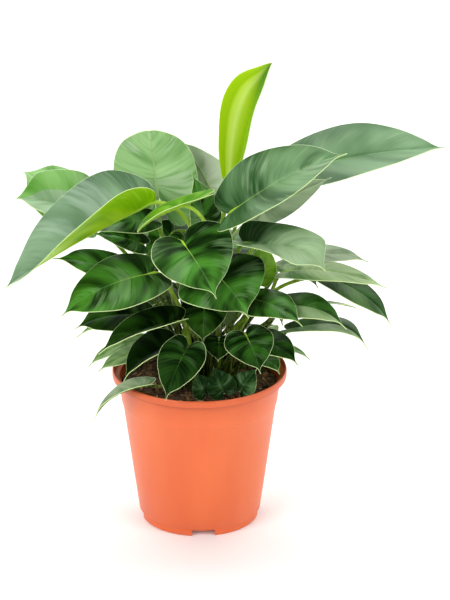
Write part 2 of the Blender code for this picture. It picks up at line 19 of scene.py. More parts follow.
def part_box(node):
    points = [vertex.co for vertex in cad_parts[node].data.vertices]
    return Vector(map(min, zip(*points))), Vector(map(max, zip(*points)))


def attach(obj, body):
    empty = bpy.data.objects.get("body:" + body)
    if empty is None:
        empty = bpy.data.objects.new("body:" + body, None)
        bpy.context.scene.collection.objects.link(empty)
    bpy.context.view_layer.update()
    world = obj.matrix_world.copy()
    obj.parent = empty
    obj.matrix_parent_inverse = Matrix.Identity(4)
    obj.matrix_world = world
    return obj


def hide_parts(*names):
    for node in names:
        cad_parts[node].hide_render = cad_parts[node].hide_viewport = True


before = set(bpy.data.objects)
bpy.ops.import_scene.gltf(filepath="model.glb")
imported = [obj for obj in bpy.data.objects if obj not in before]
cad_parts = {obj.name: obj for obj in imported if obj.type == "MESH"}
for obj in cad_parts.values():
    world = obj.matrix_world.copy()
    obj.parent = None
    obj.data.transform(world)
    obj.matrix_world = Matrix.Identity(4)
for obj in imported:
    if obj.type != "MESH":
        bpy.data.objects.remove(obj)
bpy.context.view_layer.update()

bl_info = {
    "name": "Potted Philodendron",
    "version": (1, 0, 0),
    "blender": (4, 5, 0),
    "location": "View3D > Sidebar > Philodendron",
    "description": "Models and finishes a potted congo apple philodendron around its packed frame",
    "category": "Object",
}

MM = 0.001
POT_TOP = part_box("pot")[1].z / MM
RIM_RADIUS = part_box("pot")[1].x / MM

# The pot
LIP_WALL = 1.8
LIP_HEIGHT = 8.0
WALL_THICKNESS = 1.6
WALL_TOP_RADIUS = 81.3
WALL_FOOT_RADIUS = 61.6
BAND_HEIGHT = 27.0
BAND_STEP = 0.8
FOOT_RADIUS = 59.3
FOOT_HEIGHT = 8.4
FOOT_THICKNESS = 2.6
FLOOR_UNDERSIDE = 5.0
FLOOR_TOP = 7.4
PAD_RADIUS = 16.0
NOTCH_WIDTH = 23.0
NOTCH_HEIGHT = 6.4
NOTCH_DEPTH = 12.0
NOTCH_COUNT = 4
NOTCH_TURN = math.radians(4.0)
DRAIN_RADIUS = 4.5
DRAIN_CIRCLE_RADIUS = 42.0
DRAIN_COUNT = 8
DRAIN_SIDES = 32
POT_SIDES = 144
RIM_SHADE = 22.0

# The potting mix
SOIL_HEIGHT = 146.0
SOIL_GAP = 0.3
SOIL_CELLS = 96
SOIL_SKIRT = 12.0
SOIL_RELIEF = 2.6
SOIL_SINK = 3.0
# How fine and how high the mix's crumbs are
SOIL_CRUMBS = ((0.28, 1.1), (0.7, 0.7))
# Bark chips and fibres: material, colours, share of them all, how slim and how long they are
CHIPS = (
    ("Bark chip, dark", "#3A2918", "#73573A", 0.5, 1.0, 1.0),
    ("Bark chip, brown", "#6E4E30", "#A87C50", 0.32, 1.0, 1.0),
    ("Wood fibre, tan", "#A98656", "#D8B98A", 0.18, 0.35, 1.7),
)
CHIP_GAP = 0.5
CHIP_SEED = 7
# How jagged the chips are, how far out they lie, how far they tilt, and the ranges of their measures
CHIP_JAG = 0.35
CHIP_REACH = 0.97
CHIP_TILT = 0.35
CHIP_SIZES = (0.25, 1.0)
CHIP_BREADTHS = (0.35, 0.7)
CHIP_THICKNESSES = (0.16, 0.4)

# The leaves
BLADE_THICKNESS = 0.7
BLADE_ROWS_PER_STEP = 6
BLADE_ACROSS = (0.0, 0.025, 0.06, 0.12, 0.22, 0.35, 0.49, 0.63, 0.76, 0.87, 0.95, 1.0)
# The sunk midrib, the swell between side veins and the waves of the margin
GROOVE_DEPTH = 0.5
GROOVE_REACH = 1.6
SWELL_HEIGHT = 0.035
WAVE_SHARE = 0.035
# The drip tip: its length, the most of the leaf that it takes, and half its width at the very end
DRIP_LENGTH = 22.0
DRIP_SHARE = 0.26
TIP_HALF = 0.5
# Leaves whose far basal lobe curls up, how far it rises at the margin, and where along the outline
RAISED_LOBES = {"leaf_right_folded": 13.0}
LOBE_ROW = 1.6
LOBE_REACH = 1.1
# The pinch in the near half of the young upright leaf: where along the outline, and how deep
PINCH_ROW = 4.4
PINCH_REACH = 0.9
PINCH_SHARE = 0.4
# The petioles, and the ribs in which they end, which are drawn through RIB_STATIONS, shares of the midrib
PETIOLE_STEPS = 5
PETIOLE_RISE = 0.45
PETIOLE_REACH = 0.35
PETIOLE_ROUNDNESS = 3
PETIOLE_FINENESS = 5
RIB_DEPTH = 1.9
RIB_RUN = 10.0
RIB_TAPER = 0.6
RIB_STATIONS = (0.12, 0.3, 0.5, 0.7, 0.86)
ROOT_SWELL = 1.12
ROOT_DEPTH = 12.0
ROOT_RISE = 4.0
ROOT_SPACING = 7.8
ROOT_PACKING = 0.56
ROOT_CENTRE = Vector((4.0, -2.0, 0.0))
# How petioles that would touch are bent apart
SPREAD_ROUNDS = 60
SPREAD_MARKS = 12
SPREAD_GAP = 0.9
SPREAD_STEP = 0.5
SPREAD_LOOK = 8.0

# The front view that the leaves are placed on: a sheet of millimetres through VIEW_CENTRE, looked at
# from VIEW_DISTANCE away and VIEW_TILT above the horizon. VIEW_SPAN is how much the picture's height
# takes in there.
VIEW_CENTRE = Vector((25.7, 0.0, 233.0))
VIEW_TILT = math.radians(21.75)
VIEW_DISTANCE = 3500.0
VIEW_SPAN = 600.0
VIEW_RIGHT = Vector((1.0, 0.0, 0.0))
VIEW_UP = Vector((0.0, math.sin(VIEW_TILT), math.cos(VIEW_TILT)))
VIEW_NEAR = Vector((0.0, -math.cos(VIEW_TILT), math.sin(VIEW_TILT)))

# The blades' patterns: pairs of side veins and how far they bend, how the streaks are stretched across
# and along the blade, how much the pattern shifts from leaf to leaf, and the heights in metres over
# which the painted shade low on the plant fades out: full below the first and none above the second
VEIN_COUNT = 24.0
VEIN_BEND = 0.05
THIN_STREAKS = (1.3, 46.0, 1.0)
WIDE_STREAKS = (0.8, 8.0, 1.0)
LEAF_SHIFT = (9.0, 9.0, 9.0)
SHADED_HEIGHTS = (0.19, 0.262)
# The furled leaf's greens across it, from the half turned to the front to the far one. The pale stripe around
# 0.7 is a painted highlight.
FURLED_GREENS_AND_HIGHLIGHT = (
    (0.0, "#7FB014"),
    (0.5, "#8CBC0A"),
    (0.55, "#9AC00C"),
    (0.63, "#A5CB2A"),
    (0.7, "#C3DE63"),
    (0.8, "#B4D63C"),
    (0.85, "#92BE00"),
    (1.0, "#9CC600"),
)

# How close points must lie to be merged: on the pot's rings, at a blade's poles and on a petiole's seam
RING_GAP = 0.01
POLE_GAP = 0.0005
SEAM_GAP = 0.002

# Faces of a piece that meet at less than its angle are shaded smooth
POT_SMOOTH = math.radians(32)
MIX_SMOOTH = math.radians(60)
BLADE_SMOOTH = math.radians(50)
PETIOLE_SMOOTH = math.radians(60)

# Settings that many nodes share
SMOOTH = {"interpolation_type": "SMOOTHSTEP"}
COLOURS = {"data_type": "RGBA"}

# Half outlines of a flat blade. Each row says how far along the midrib the margin lies, how wide the
# half is there, and how far along the midrib its vein starts. The petiole meets the blade at 0 and the
# tip is at 1. TROUGH is for the long folded leaf, and QUILL for the young upright one.
HEART = (
    (0.00, 0.00, 0.00), (-0.13, 0.26, 0.03), (-0.11, 0.66, 0.07), (0.14, 1.00, 0.15),
    (0.42, 0.90, 0.30), (0.67, 0.54, 0.52), (0.88, 0.15, 0.78), (1.00, 0.00, 1.00),
)
BROAD = (
    (0.00, 0.00, 0.00), (-0.28, 0.20, 0.03), (-0.27, 0.62, 0.07), (0.04, 1.00, 0.14),
    (0.36, 0.96, 0.28), (0.64, 0.63, 0.50), (0.87, 0.17, 0.78), (1.00, 0.00, 1.00),
)
LONG = (
    (0.00, 0.00, 0.00), (-0.06, 0.26, 0.03), (-0.05, 0.62, 0.07), (0.18, 0.97, 0.16),
    (0.44, 0.97, 0.33), (0.69, 0.66, 0.55), (0.89, 0.20, 0.80), (1.00, 0.00, 1.00),
)
TROUGH = (
    (0.00, 0.00, 0.00), (-0.02, 0.24, 0.03), (0.04, 0.52, 0.08), (0.20, 0.87, 0.18),
    (0.42, 1.00, 0.34), (0.68, 0.79, 0.56), (0.88, 0.32, 0.80), (1.00, 0.00, 1.00),
)
QUILL = (
    (0.00, 0.00, 0.00), (0.00, 0.26, 0.03), (0.06, 0.46, 0.10), (0.25, 0.80, 0.24),
    (0.54, 1.00, 0.44), (0.78, 0.82, 0.66), (0.93, 0.28, 0.84), (1.00, 0.00, 1.00),
)
ROUND = (
    (0.00, 0.00, 0.00), (-0.46, 0.22, 0.02), (-0.54, 0.60, 0.04), (-0.12, 0.97, 0.10),
    (0.42, 0.97, 0.26), (0.79, 0.70, 0.50), (0.96, 0.28, 0.80), (1.00, 0.00, 1.00),
)
BLUNT = (
    (0.00, 0.00, 0.00), (-0.13, 0.26, 0.03), (-0.11, 0.66, 0.07), (0.14, 1.00, 0.15),
    (0.44, 0.98, 0.30), (0.72, 0.78, 0.52), (0.91, 0.38, 0.78), (1.00, 0.00, 1.00),
)
SHOULDER = (
    (0.00, 0.00, 0.00), (-0.10, 0.26, 0.03), (-0.06, 0.62, 0.07), (0.20, 0.86, 0.17),
    (0.50, 0.98, 0.34), (0.80, 0.92, 0.58), (0.97, 0.50, 0.82), (1.00, 0.00, 1.00),
)

# base and tip are where the petiole meets the blade and where the blade ends, as millimetres right and
# up on the front view and then out from the pot's axis. width is across both halves. face is the way the
# upper side looks: right, up and near. fold is how many degrees the halves rise at the base and at the
# tip, and curl how many they bend back down on the way to the margin. arch lifts the midrib at one third
# and at two thirds. bend is the angle at which the petiole comes up under the blade, and stalk its
# radius.
Leaf = namedtuple(
    "Leaf",
    "name tone base tip width face fold arch curl form bend stalk",
    defaults=(55, 1.9),
)

LEAVES = (
    Leaf("leaf_top_new", "lime", (6, 116, -16), (47, 238, -6), 64, (-0.68, 0.23, 0.695),
         (38, 30), (-4, 16), 8, QUILL, 12, 2.3),
    Leaf("leaf_top_left", "mid", (-68, 109, -24), (-76, 170, 2), 83, (0.0, 0.62, -0.78),
         (12, 4), (4, 8), 16, ROUND, 40),
    Leaf("leaf_top_middle", "mid", (-12, 108, -44), (-48, 161, -22), 56, (0.3, 0.6, -0.75),
         (12, 6), (4, 8), 16, HEART, 30),
    Leaf("leaf_top_right", "deep", (60, 124, -46), (221, 153, -12), 98, (-0.16, 0.79, 0.60),
         (25, 12), (13, 9), 22, LONG, 50, 2.3),
    Leaf("leaf_top_right_near", "deep", (3, 86, 44), (122, 147, 62), 89, (-0.37, 0.65, 0.66),
         (24, 12), (10, 12), 16, LONG, 50, 2.1),
    Leaf("leaf_top_right_under", "mid", (32, 86, 8), (107, 123, 32), 36, (0.1, 0.50, -0.85),
         (6, 4), (4, 6), 10, HEART, 15),
    Leaf("leaf_left_long", "deep", (-70, 99, 26), (-222, 11, 48), 124, (-0.47, 0.79, 0.39),
         (61, 12), (6, 6), 16, TROUGH, 35, 2.4),
    Leaf("leaf_left_high", "mid", (-133, 80, -76), (-203, 130, -92), 72, (0.40, 0.42, 0.81),
         (22, -6), (4, 4), 12, BLUNT, -15),
    Leaf("leaf_left_high_near", "mid", (-135, 88, -46), (-211, 102, -46), 80, (0.154, 0.727, 0.669),
         (26, 34), (4, 6), 16, BLUNT, 40),
    Leaf("leaf_left_shaded", "deep", (-74, 80, 4), (-138, 66, 16), 44, (-0.1, 0.80, 0.60),
         (10, 6), (6, 8), 16, HEART, 50),
    Leaf("leaf_left_inner", "deep", (-82, 56, -24), (-134, 66, -20), 30, (-0.1, 0.6, 0.8),
         (10, 6), (6, 8), 16, HEART, 45),
    Leaf("leaf_left_dark", "deep", (-86, 18, 32), (-173, 42, 50), 48, (-0.1, 0.70, 0.70),
         (14, 6), (8, 12), 16, LONG, 20),
    Leaf("leaf_left_front", "deep", (-67, 28, 70), (-165, -17, 96), 76, (-0.25, 0.66, 0.70),
         (6, 4), (14, 18), 16, LONG, 55, 2.1),
    Leaf("leaf_left_low", "mid", (-76, -15, 28), (-151, -29, 38), 50, (-0.2, 0.66, 0.70),
         (8, 4), (10, 15), 14, LONG),
    Leaf("leaf_left_low_back", "mid", (-70, -15, -6), (-150, -38, 8), 20, (-0.2, 0.8, 0.6),
         (8, 4), (12, 16), 14, LONG, 50),
    Leaf("leaf_left_narrow", "deep", (-44, -20, 66), (-127, -54, 80), 45, (-0.3, 0.80, 0.50),
         (34, 18), (8, 12), 10, LONG, 50),
    Leaf("leaf_left_rim", "deep", (-54, -45, 42), (-102, -81, 64), 56, (-0.52, 0.70, 0.50),
         (30, 14), (8, 12), 10, HEART),
    Leaf("leaf_left_pale", "pale", (-82, -38, -14), (-138, -67, 4), 26, (-0.3, 0.8, 0.5),
         (10, 6), (6, 8), 14, LONG, 50),
    Leaf("leaf_left_pale_near", "mid", (-74, -50, 16), (-128, -72, 34), 32, (-0.3, 0.8, 0.5),
         (10, 6), (6, 8), 14, LONG, 50),
    Leaf("leaf_over_rim", "mid", (-75, -84, 68), (-132, -121, 56), 26, (-0.5, 0.8, 0.3),
         (24, 14), (11.5, 15.5), 4, LONG, 35, 1.5),
    Leaf("leaf_centre_front", "deep", (-43, 59, 73), (-8, 1, 108), 93, (0.36, 0.40, 0.85),
         (18, 8), (4, 6), 14, HEART, 55, 2.1),
    Leaf("leaf_centre_low", "deep", (-12, 29, 66), (24, -18, 98), 102, (0.22, 0.62, 0.75),
         (8, 4), (6, 8), 14, HEART, 55, 2.1),
    Leaf("leaf_centre_dark", "deep", (-20, 0, 46), (-23, -44, 68), 46, (0.0, 0.5, 0.86),
         (8, 4), (6, 6), 14, HEART, 50),
    Leaf("leaf_centre_small", "deep", (-6, -38, 62), (-7, -63, 78), 30, (0.0, 0.5, 0.86),
         (8, 4), (4, 4), 14, HEART, 50, 1.6),
    Leaf("leaf_centre_lime", "lime", (-40, 96, 46), (-88, 68, 49), 34, (-0.52, 0.82, 0.22),
         (20, 14), (4, 6), 6, ROUND, 50),
    Leaf("leaf_centre_upright", "mid", (-20, 72, 6), (-33, 127, 12), 40, (0.5, 0.1, 0.86),
         (18, 8), (4, 6), 10, HEART, 25),
    Leaf("leaf_centre_rolled", "lime", (31, 18, 26), (37, 60, 30), 36, (0.35, -0.05, 0.93),
         (30, 26), (2, 4), 8, LONG, 12, 1.7),
    Leaf("leaf_right_folded", "deep", (18, 58, 36), (101, 29, 80), 68, (0.28, 0.77, 0.57),
         (30, 12), (4, 28), 20, SHOULDER, 75, 2.1),
    Leaf("leaf_right_grey", "mid", (58, 41, -34), (145, 38, -12), 42, (0.1, 0.86, 0.50),
         (10, 4), (8, 13), 16, LONG, 50),
    Leaf("leaf_right_light", "mid", (56, 28, 14), (163, 12, 40), 46, (0.15, 0.86, 0.45),
         (8, 4), (14, 10), 14, LONG),
    Leaf("leaf_right_arched", "mid", (99, 24, 6), (167, -26, 24), 48, (0.3, 0.80, 0.50),
         (8, 4), (11, 15), 14, LONG, 15),
    Leaf("leaf_right_front", "deep", (25, 2, 54), (78, -26, 84), 60, (0.35, 0.70, 0.61),
         (5, 3), (8, 10), 14, HEART),
    Leaf("leaf_right_behind", "mid", (56, -4, 40), (122, -29, 66), 52, (0.3, 0.75, 0.60),
         (8, 4), (9, 17), 14, HEART),
    Leaf("leaf_right_low", "mid", (62, -29, 20), (144, -50, 46), 56, (0.2, 0.92, 0.33),
         (10, 4), (13, 33), 14, LONG),
    Leaf("leaf_right_heart", "deep", (20, -33, 76), (36, -74, 102), 50, (0.15, 0.45, 0.88),
         (8, 4), (6, 6), 16, HEART),
    Leaf("leaf_right_heart_back", "deep", (30, -38, 50), (74, -66, 80), 48, (0.25, 0.75, 0.60),
         (10, 4), (8, 10), 14, HEART, 50),
    Leaf("leaf_right_tip", "pale", (50, -47, 4), (86, -60, 24), 14, (0.25, 0.8, 0.55),
         (10, 4), (6, 8), 14, HEART, 50, 1.6),
    Leaf("leaf_pot_right", "mid", (38, -58, 36), (55, -74, 54), 24, (0.25, 0.7, 0.65),
         (10, 4), (4, 6), 14, HEART, 50, 1.5),
    Leaf("leaf_front_heart", "deep", (-37, -46, 78), (-60, -101, 104), 48, (-0.2, 0.45, 0.87),
         (10, 4), (6, 8), 14, HEART),
    Leaf("leaf_pot_front_left", "deep", (-19, -94, 62), (-30, -72, 56), 24, (0.0, 0.35, 0.93),
         (10, 4), (3, 2), 14, HEART, 80, 1.5),
    Leaf("leaf_pot_front_middle", "deep", (-1, -93, 62), (-12, -66, 54), 30, (-0.1, 0.35, 0.93),
         (10, 4), (3, 2), 14, HEART, 80, 1.5),
    Leaf("leaf_pot_front_right", "deep", (15, -91, 58), (32, -68, 50), 27, (-0.15, 0.35, 0.92),
         (14, 6), (3, 2), 14, HEART, 80, 1.5),
    Leaf("leaf_inner_high", "deep", (-52, 68, -38), (-80, 37, -38), 40, (-0.1, 0.4, 0.91),
         (8, 4), (4, 6), 14, HEART, 40),
    Leaf("leaf_back_high_left", "mid", (-26, 94, -58), (-54, 120, -122), 62, (-0.2, 0.95, -0.1),
         (14, 6), (8, 10), 18, HEART, 50),
    Leaf("leaf_back_high_right", "mid", (14, 92, -56), (34, 122, -130), 60, (0.2, 0.95, -0.1),
         (14, 6), (8, 10), 18, HEART, 50),
    Leaf("leaf_back_mid_left", "deep", (-56, 68, -70), (-84, 92, -152), 68, (-0.2, 0.9, -0.3),
         (12, 6), (10, 14), 18, BROAD, 55, 2.1),
    Leaf("leaf_back_middle", "deep", (-1, 47, -77), (16, 68, -170), 76, (0.1, 0.9, -0.3),
         (12, 6), (10, 14), 18, BROAD, 55, 2.1),
    Leaf("leaf_back_left", "deep", (-48, 14, -72), (-84, -28, -122), 60, (-0.3, 0.72, -0.62),
         (12, 6), (10, 14), 18, HEART),
    Leaf("leaf_back_right", "deep", (50, 34, -62), (94, 12, -126), 62, (0.3, 0.72, -0.62),
         (12, 6), (10, 14), 18, HEART),
    Leaf("leaf_back_low_left", "deep", (-46, -6, -78), (-74, -50, -116), 56, (-0.25, 0.66, -0.7),
         (12, 6), (10, 14), 18, HEART),
    Leaf("leaf_back_low_right", "deep", (39, 6, -66), (58, -26, -110), 48, (0.25, 0.66, -0.7),
         (12, 6), (10, 14), 18, HEART),
    Leaf("leaf_back_low_middle", "deep", (-4, 6, -76), (-8, -40, -116), 56, (0.0, 0.66, -0.75),
         (12, 6), (8, 12), 18, HEART),
    Leaf("leaf_back_rim_left", "mid", (-16, -28, -62), (-38, -34, -124), 42, (-0.2, 0.9, -0.3),
         (12, 6), (8, 10), 16, HEART, 50),
    Leaf("leaf_back_rim_right", "mid", (26, -28, -56), (54, -36, -106), 36, (0.2, 0.9, -0.3),
         (12, 6), (8, 10), 16, HEART, 50),
    Leaf("leaf_back_side_left", "mid", (-60, -18, -36), (-132, -24, -72), 40, (-0.3, 0.9, 0.0),
         (12, 6), (8, 12), 16, LONG, 50),
    Leaf("leaf_back_side_right", "mid", (54, -9, -30), (138, -10, -62), 36, (0.3, 0.9, 0.0),
         (12, 6), (8, 12), 16, LONG, 50),
)


def seen(right, up, out):
    """The point at that place on the front view, standing out from the pot's axis towards the eye."""
    eye = VIEW_CENTRE + VIEW_NEAR * VIEW_DISTANCE
    ray = VIEW_CENTRE + VIEW_RIGHT * right + VIEW_UP * up - eye
    return eye + ray * ((-out - eye.y) / ray.y)


def towards(right, up, near):
    """The direction that points right, up and near on the front view."""
    return (VIEW_RIGHT * right + VIEW_UP * up + VIEW_NEAR * near).normalized()


def square_to(direction, axis):
    """The direction turned the least way that makes it square to the axis."""
    return (direction - axis * direction.dot(axis)).normalized()


def curve_point(points, t):
    """A point on a cubic Bezier curve."""
    a, b, c, d = points
    return a * (1 - t) ** 3 + b * 3 * t * (1 - t) ** 2 + c * 3 * t * t * (1 - t) + d * t ** 3


def curve_heading(points, t):
    """The way a cubic Bezier curve runs at t."""
    a, b, c, d = points
    slope = (b - a) * (1 - t) ** 2 + (c - b) * 2 * t * (1 - t) + (d - c) * t * t
    return slope.normalized()


def midrib(leaf):
    """The four control points of a leaf's midrib, and the way its upper side faces."""
    base = seen(*leaf.base)
    tip = seen(*leaf.tip)
    run = tip - base
    face = square_to(towards(*leaf.face), run.normalized())
    first = base + run / 3 + face * leaf.arch[0]
    second = base + run * 2 / 3 + face * leaf.arch[1]
    return (base, first, second, tip), face


def blade_point(leaf, along, across, proud):
    """A point on a blade's upper side: along the midrib from 0 to 1, across from -1 to 1, and standing
    so many millimetres proud of the smooth sheet."""
    points, face = midrib(leaf)
    t = max(along, 0.0)
    heading = curve_heading(points, t)
    spot = curve_point(points, t)
    if along < 0:
        spot = spot + heading * along * (points[3] - points[0]).length
    up = square_to(face, heading)
    side = up.cross(heading)
    half = leaf.width / 2
    fold = math.radians(leaf.fold[0] + (leaf.fold[1] - leaf.fold[0]) * t)
    bend = math.radians(leaf.curl) / half
    turned = fold - bend * abs(across) * half
    outward = (math.sin(fold) - math.sin(turned)) / bend
    lift = (math.cos(turned) - math.cos(fold)) / bend
    return spot + side * math.copysign(outward, across) + up * (lift + proud)


def root_spots():
    """Where each leaf stands in the mix. The spots are packed like seeds in a sunflower, and the lowest
    leaf chooses first, taking the free spot nearest the edge of the clump that lies towards its blade."""
    turn = math.pi * (3 - math.sqrt(5))
    pitch = ROOT_SPACING * ROOT_PACKING
    free = []
    for i in range(len(LEAVES)):
        way = Vector((math.cos(i * turn), math.sin(i * turn), 0.0))
        free.append(ROOT_CENTRE + way * pitch * math.sqrt(i + 0.5))
    bases = {leaf.name: seen(*leaf.base) for leaf in LEAVES}
    order = sorted(bases, key=lambda name: bases[name].z)
    spots = {}
    for rank, name in enumerate(order):
        way = bases[name] - ROOT_CENTRE
        way.z = 0.0
        wish = ROOT_CENTRE + way.normalized() * pitch * math.sqrt(len(order) - rank)
        best = min(free, key=lambda spot: (spot - wish).length)
        free.remove(best)
        spots[name] = best
    return spots


def petiole_path(leaf, root):
    """The petiole's points, from the bottom of its hole up and along under the midrib."""
    points, face = midrib(leaf)
    heading = curve_heading(points, 0.0)
    up = square_to(face, heading)
    end = points[0] - up * RIB_DEPTH
    bend = math.radians(leaf.bend)
    arrival = heading * math.cos(bend) + up * math.sin(bend)
    start = Vector((root.x, root.y, SOIL_HEIGHT + ROOT_RISE))
    reach = (end - start).length
    rise = start + Vector((0.0, 0.0, reach * PETIOLE_RISE))
    curve = (start, rise, end - arrival * reach * PETIOLE_REACH, end)
    path = [Vector((root.x, root.y, SOIL_HEIGHT - ROOT_DEPTH))]
    for i in range(PETIOLE_STEPS + 1):
        path.append(curve_point(curve, i / PETIOLE_STEPS))
    path.append(end + heading * RIB_RUN + up * leaf.stalk * RIB_TAPER / 2)
    return path


def petiole_radii(leaf):
    """The petiole's radius at each point of its path, up to where it meets the blade."""
    swell = leaf.stalk * ROOT_SWELL
    slim = [swell + (leaf.stalk - swell) * i / PETIOLE_STEPS for i in range(PETIOLE_STEPS + 1)]
    return [swell, *slim]


def petiole_marks(paths, radii):
    """Marks along every petiole: its leaf, the step of its path, how far along that, where and how thick."""
    marks = []
    for name, path in paths.items():
        for i in range(1, len(path) - 1):
            for k in range(SPREAD_MARKS):
                part = k / SPREAD_MARKS
                marks.append((name, i, part, path[i].lerp(path[i + 1], part), radii[name][i]))
    return marks


def spread_petioles(paths, radii):
    """Bend petioles that would touch a little sideways, round after round, until they pass clear of each
    other. Their ends at the mix and at the blade stay where they are."""
    for _ in range(SPREAD_ROUNDS):
        marks = petiole_marks(paths, radii)
        tree = KDTree(len(marks))
        for index, mark in enumerate(marks):
            tree.insert(mark[3], index)
        tree.balance()
        pushes = {}
        for name, i, part, spot, thick in marks:
            for near, index, distance in tree.find_range(spot, SPREAD_LOOK):
                short = thick + marks[index][4] + SPREAD_GAP - distance
                if marks[index][0] == name or short <= 0:
                    continue
                away = spot - near
                away.z = 0.0
                for point, share in ((i, 1 - part), (i + 1, part)):
                    push = away.normalized() * short * share
                    weaker = pushes.get((name, point), Vector())
                    if 2 <= point <= len(paths[name]) - 3 and push.length > weaker.length:
                        pushes[name, point] = push
        if not pushes:
            break
        for (name, point), push in pushes.items():
            paths[name][point] += push * SPREAD_STEP


def smooth_between(rows, place):
    """A row of numbers part of the way down a table, on a smooth curve through the table's rows."""
    last = len(rows) - 1
    i = min(int(place), last - 1)
    t = place - i
    before, a, b, after = (rows[min(max(k, 0), last)] for k in (i - 1, i, i + 1, i + 2))
    return [
        q + t / 2 * (r - p + t * (2 * p - 5 * q + 4 * r - s + t * (3 * (q - r) + s - p)))
        for p, q, r, s in zip(before, a, b, after)
    ]


def relief(leaf, row, across):
    """How far a blade's upper side stands proud, in millimetres: the sunk midrib, the swell between the
    side veins, the slow waves of the margin and a raised basal lobe."""
    reach = abs(across)
    half = leaf.width / 2
    groove = -GROOVE_DEPTH * math.exp(-((reach * half / GROOVE_REACH) ** 2))
    swell = SWELL_HEIGHT * math.cos(4 * math.pi * row) * math.sin(math.pi * min(reach, 1.0)) ** 2
    phase = noise.noise(Vector((leaf.base[0] * 0.13, leaf.base[1] * 0.17, 1.5))) * 9
    wave = math.sin(row * 2.1 + phase + (0.9 if across > 0 else 0.0)) * reach ** 2 * half * WAVE_SHARE
    lobe = 0.0
    if across > 0 and leaf.name in RAISED_LOBES:
        lobe = RAISED_LOBES[leaf.name] * reach ** 1.5 * math.exp(-(((row - LOBE_ROW) / LOBE_REACH) ** 2))
    return groove + swell * min(half / 30, 1.0) + wave + lobe


def drawn_out(leaf, wide, left):
    """The half width of a blade near its tip, which is drawn out into a short slender drip tip. left is
    the length in millimetres that is left to the tip. The round leaf and the furled one have none."""
    if leaf.form not in (ROUND, QUILL):
        span = math.dist(leaf.base, leaf.tip)
        part = min(0.06 + 0.94 * left / min(DRIP_LENGTH, span * DRIP_SHARE), 1.0)
        wide *= part * part * (3 - 2 * part)
    return max(wide, min(left / 2, 1.0) * TIP_HALF / (leaf.width / 2))


def select_only(*items):
    """Select these objects alone, the first of them active."""
    bpy.ops.object.select_all(action="DESELECT")
    for item in items:
        item.select_set(True)
    bpy.context.view_layer.objects.active = items[0]


def name_active(name):
    """Name the active object and its mesh, and return it."""
    item = bpy.context.object
    item.name = item.data.name = name
    return item


def merge_points(gap):
    """Merge points of the active mesh that lie closer than this many millimetres."""
    bpy.ops.object.mode_set(mode="EDIT")
    bpy.ops.mesh.select_all(action="SELECT")
    bpy.ops.mesh.remove_doubles(threshold=gap * MM)
    bpy.ops.object.mode_set(mode="OBJECT")


def turn_outwards():
    """Turn the faces of the active mesh outwards."""
    bpy.ops.object.mode_set(mode="EDIT")
    bpy.ops.mesh.select_all(action="SELECT")
    bpy.ops.mesh.normals_make_consistent(inside=False)
    bpy.ops.object.mode_set(mode="OBJECT")


def apply_all(item):
    """Apply an object's modifiers in order."""
    select_only(item)
    for step in list(item.modifiers):
        bpy.ops.object.modifier_apply(modifier=step.name)


def ring_lathe(name, rings, sides):
    """A closed turned solid. A filled circle is drawn at the first ring and extruded and scaled through
    the rest, each given as radius and height in millimetres."""
    radius, height = rings[0]
    bpy.ops.object.select_all(action="DESELECT")
    bpy.ops.mesh.primitive_circle_add(
        vertices=sides, radius=radius * MM, fill_type="NGON", location=(0, 0, 0)
    )
    item = name_active(name)
    bpy.ops.object.mode_set(mode="EDIT")
    bpy.ops.mesh.select_all(action="SELECT")
    bpy.ops.transform.translate(value=(0, 0, height * MM))
    bpy.ops.mesh.duplicate()
    bpy.ops.mesh.flip_normals()
    for wider, higher in rings[1:]:
        bpy.ops.mesh.extrude_region_move(
            TRANSFORM_OT_translate={"value": (0, 0, (higher - height) * MM)}
        )
        bpy.ops.transform.resize(value=(wider / radius, wider / radius, 1))
        radius, height = wider, higher
    bpy.ops.object.mode_set(mode="OBJECT")
    merge_points(RING_GAP)
    turn_outwards()
    return item


def cut_away(item, cutter):
    """Cut a helper out of an object and remove the helper."""
    step = item.modifiers.new("Cut", "BOOLEAN")
    step.operation = "DIFFERENCE"
    step.solver = "EXACT"
    step.object = cutter
    apply_all(item)
    bpy.data.objects.remove(cutter)


def hand_over(item, slot, *nodes):
    """Let a finished piece stand for its nodes of the frame."""
    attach(item, "root")
    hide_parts(*nodes)


def linear(colour):
    """An sRGB hex colour as linear red, green, blue and alpha."""
    parts = [int(colour[i:i + 2], 16) / 255 for i in (1, 3, 5)]
    return (*(p / 12.92 if p < 0.04045 else ((p + 0.055) / 1.055) ** 2.4 for p in parts), 1.0)


def add_node(tree, kind, inputs=(), stops=(), **settings):
    """Add a shader node with its settings, its inputs and a ramp's stops. Inputs come in order or by key:
    each is a value, an sRGB hex colour, a socket, or a node, whose first live output is then meant."""
    made = tree.nodes.new("ShaderNode" + kind)
    for key, value in settings.items():
        setattr(made, key, value)
    for key, value in inputs.items() if isinstance(inputs, dict) else enumerate(inputs):
        if isinstance(value, bpy.types.Node):
            value = next(socket for socket in value.outputs if socket.enabled)
        if isinstance(value, bpy.types.NodeSocket):
            tree.links.new(value, made.inputs[key])
        else:
            made.inputs[key].default_value = linear(value) if isinstance(value, str) else value
    for i, (position, colour) in enumerate(stops):
        stop = made.color_ramp.elements[i] if i < 2 else made.color_ramp.elements.new(position)
        stop.position = position
        stop.color = linear(colour)
    return made


def new_material(name):
    """An empty material, and the function that adds nodes to it."""
    made = bpy.data.materials.new(name)
    made.use_nodes = True
    made.node_tree.nodes.clear()
    return made, partial(add_node, made.node_tree)


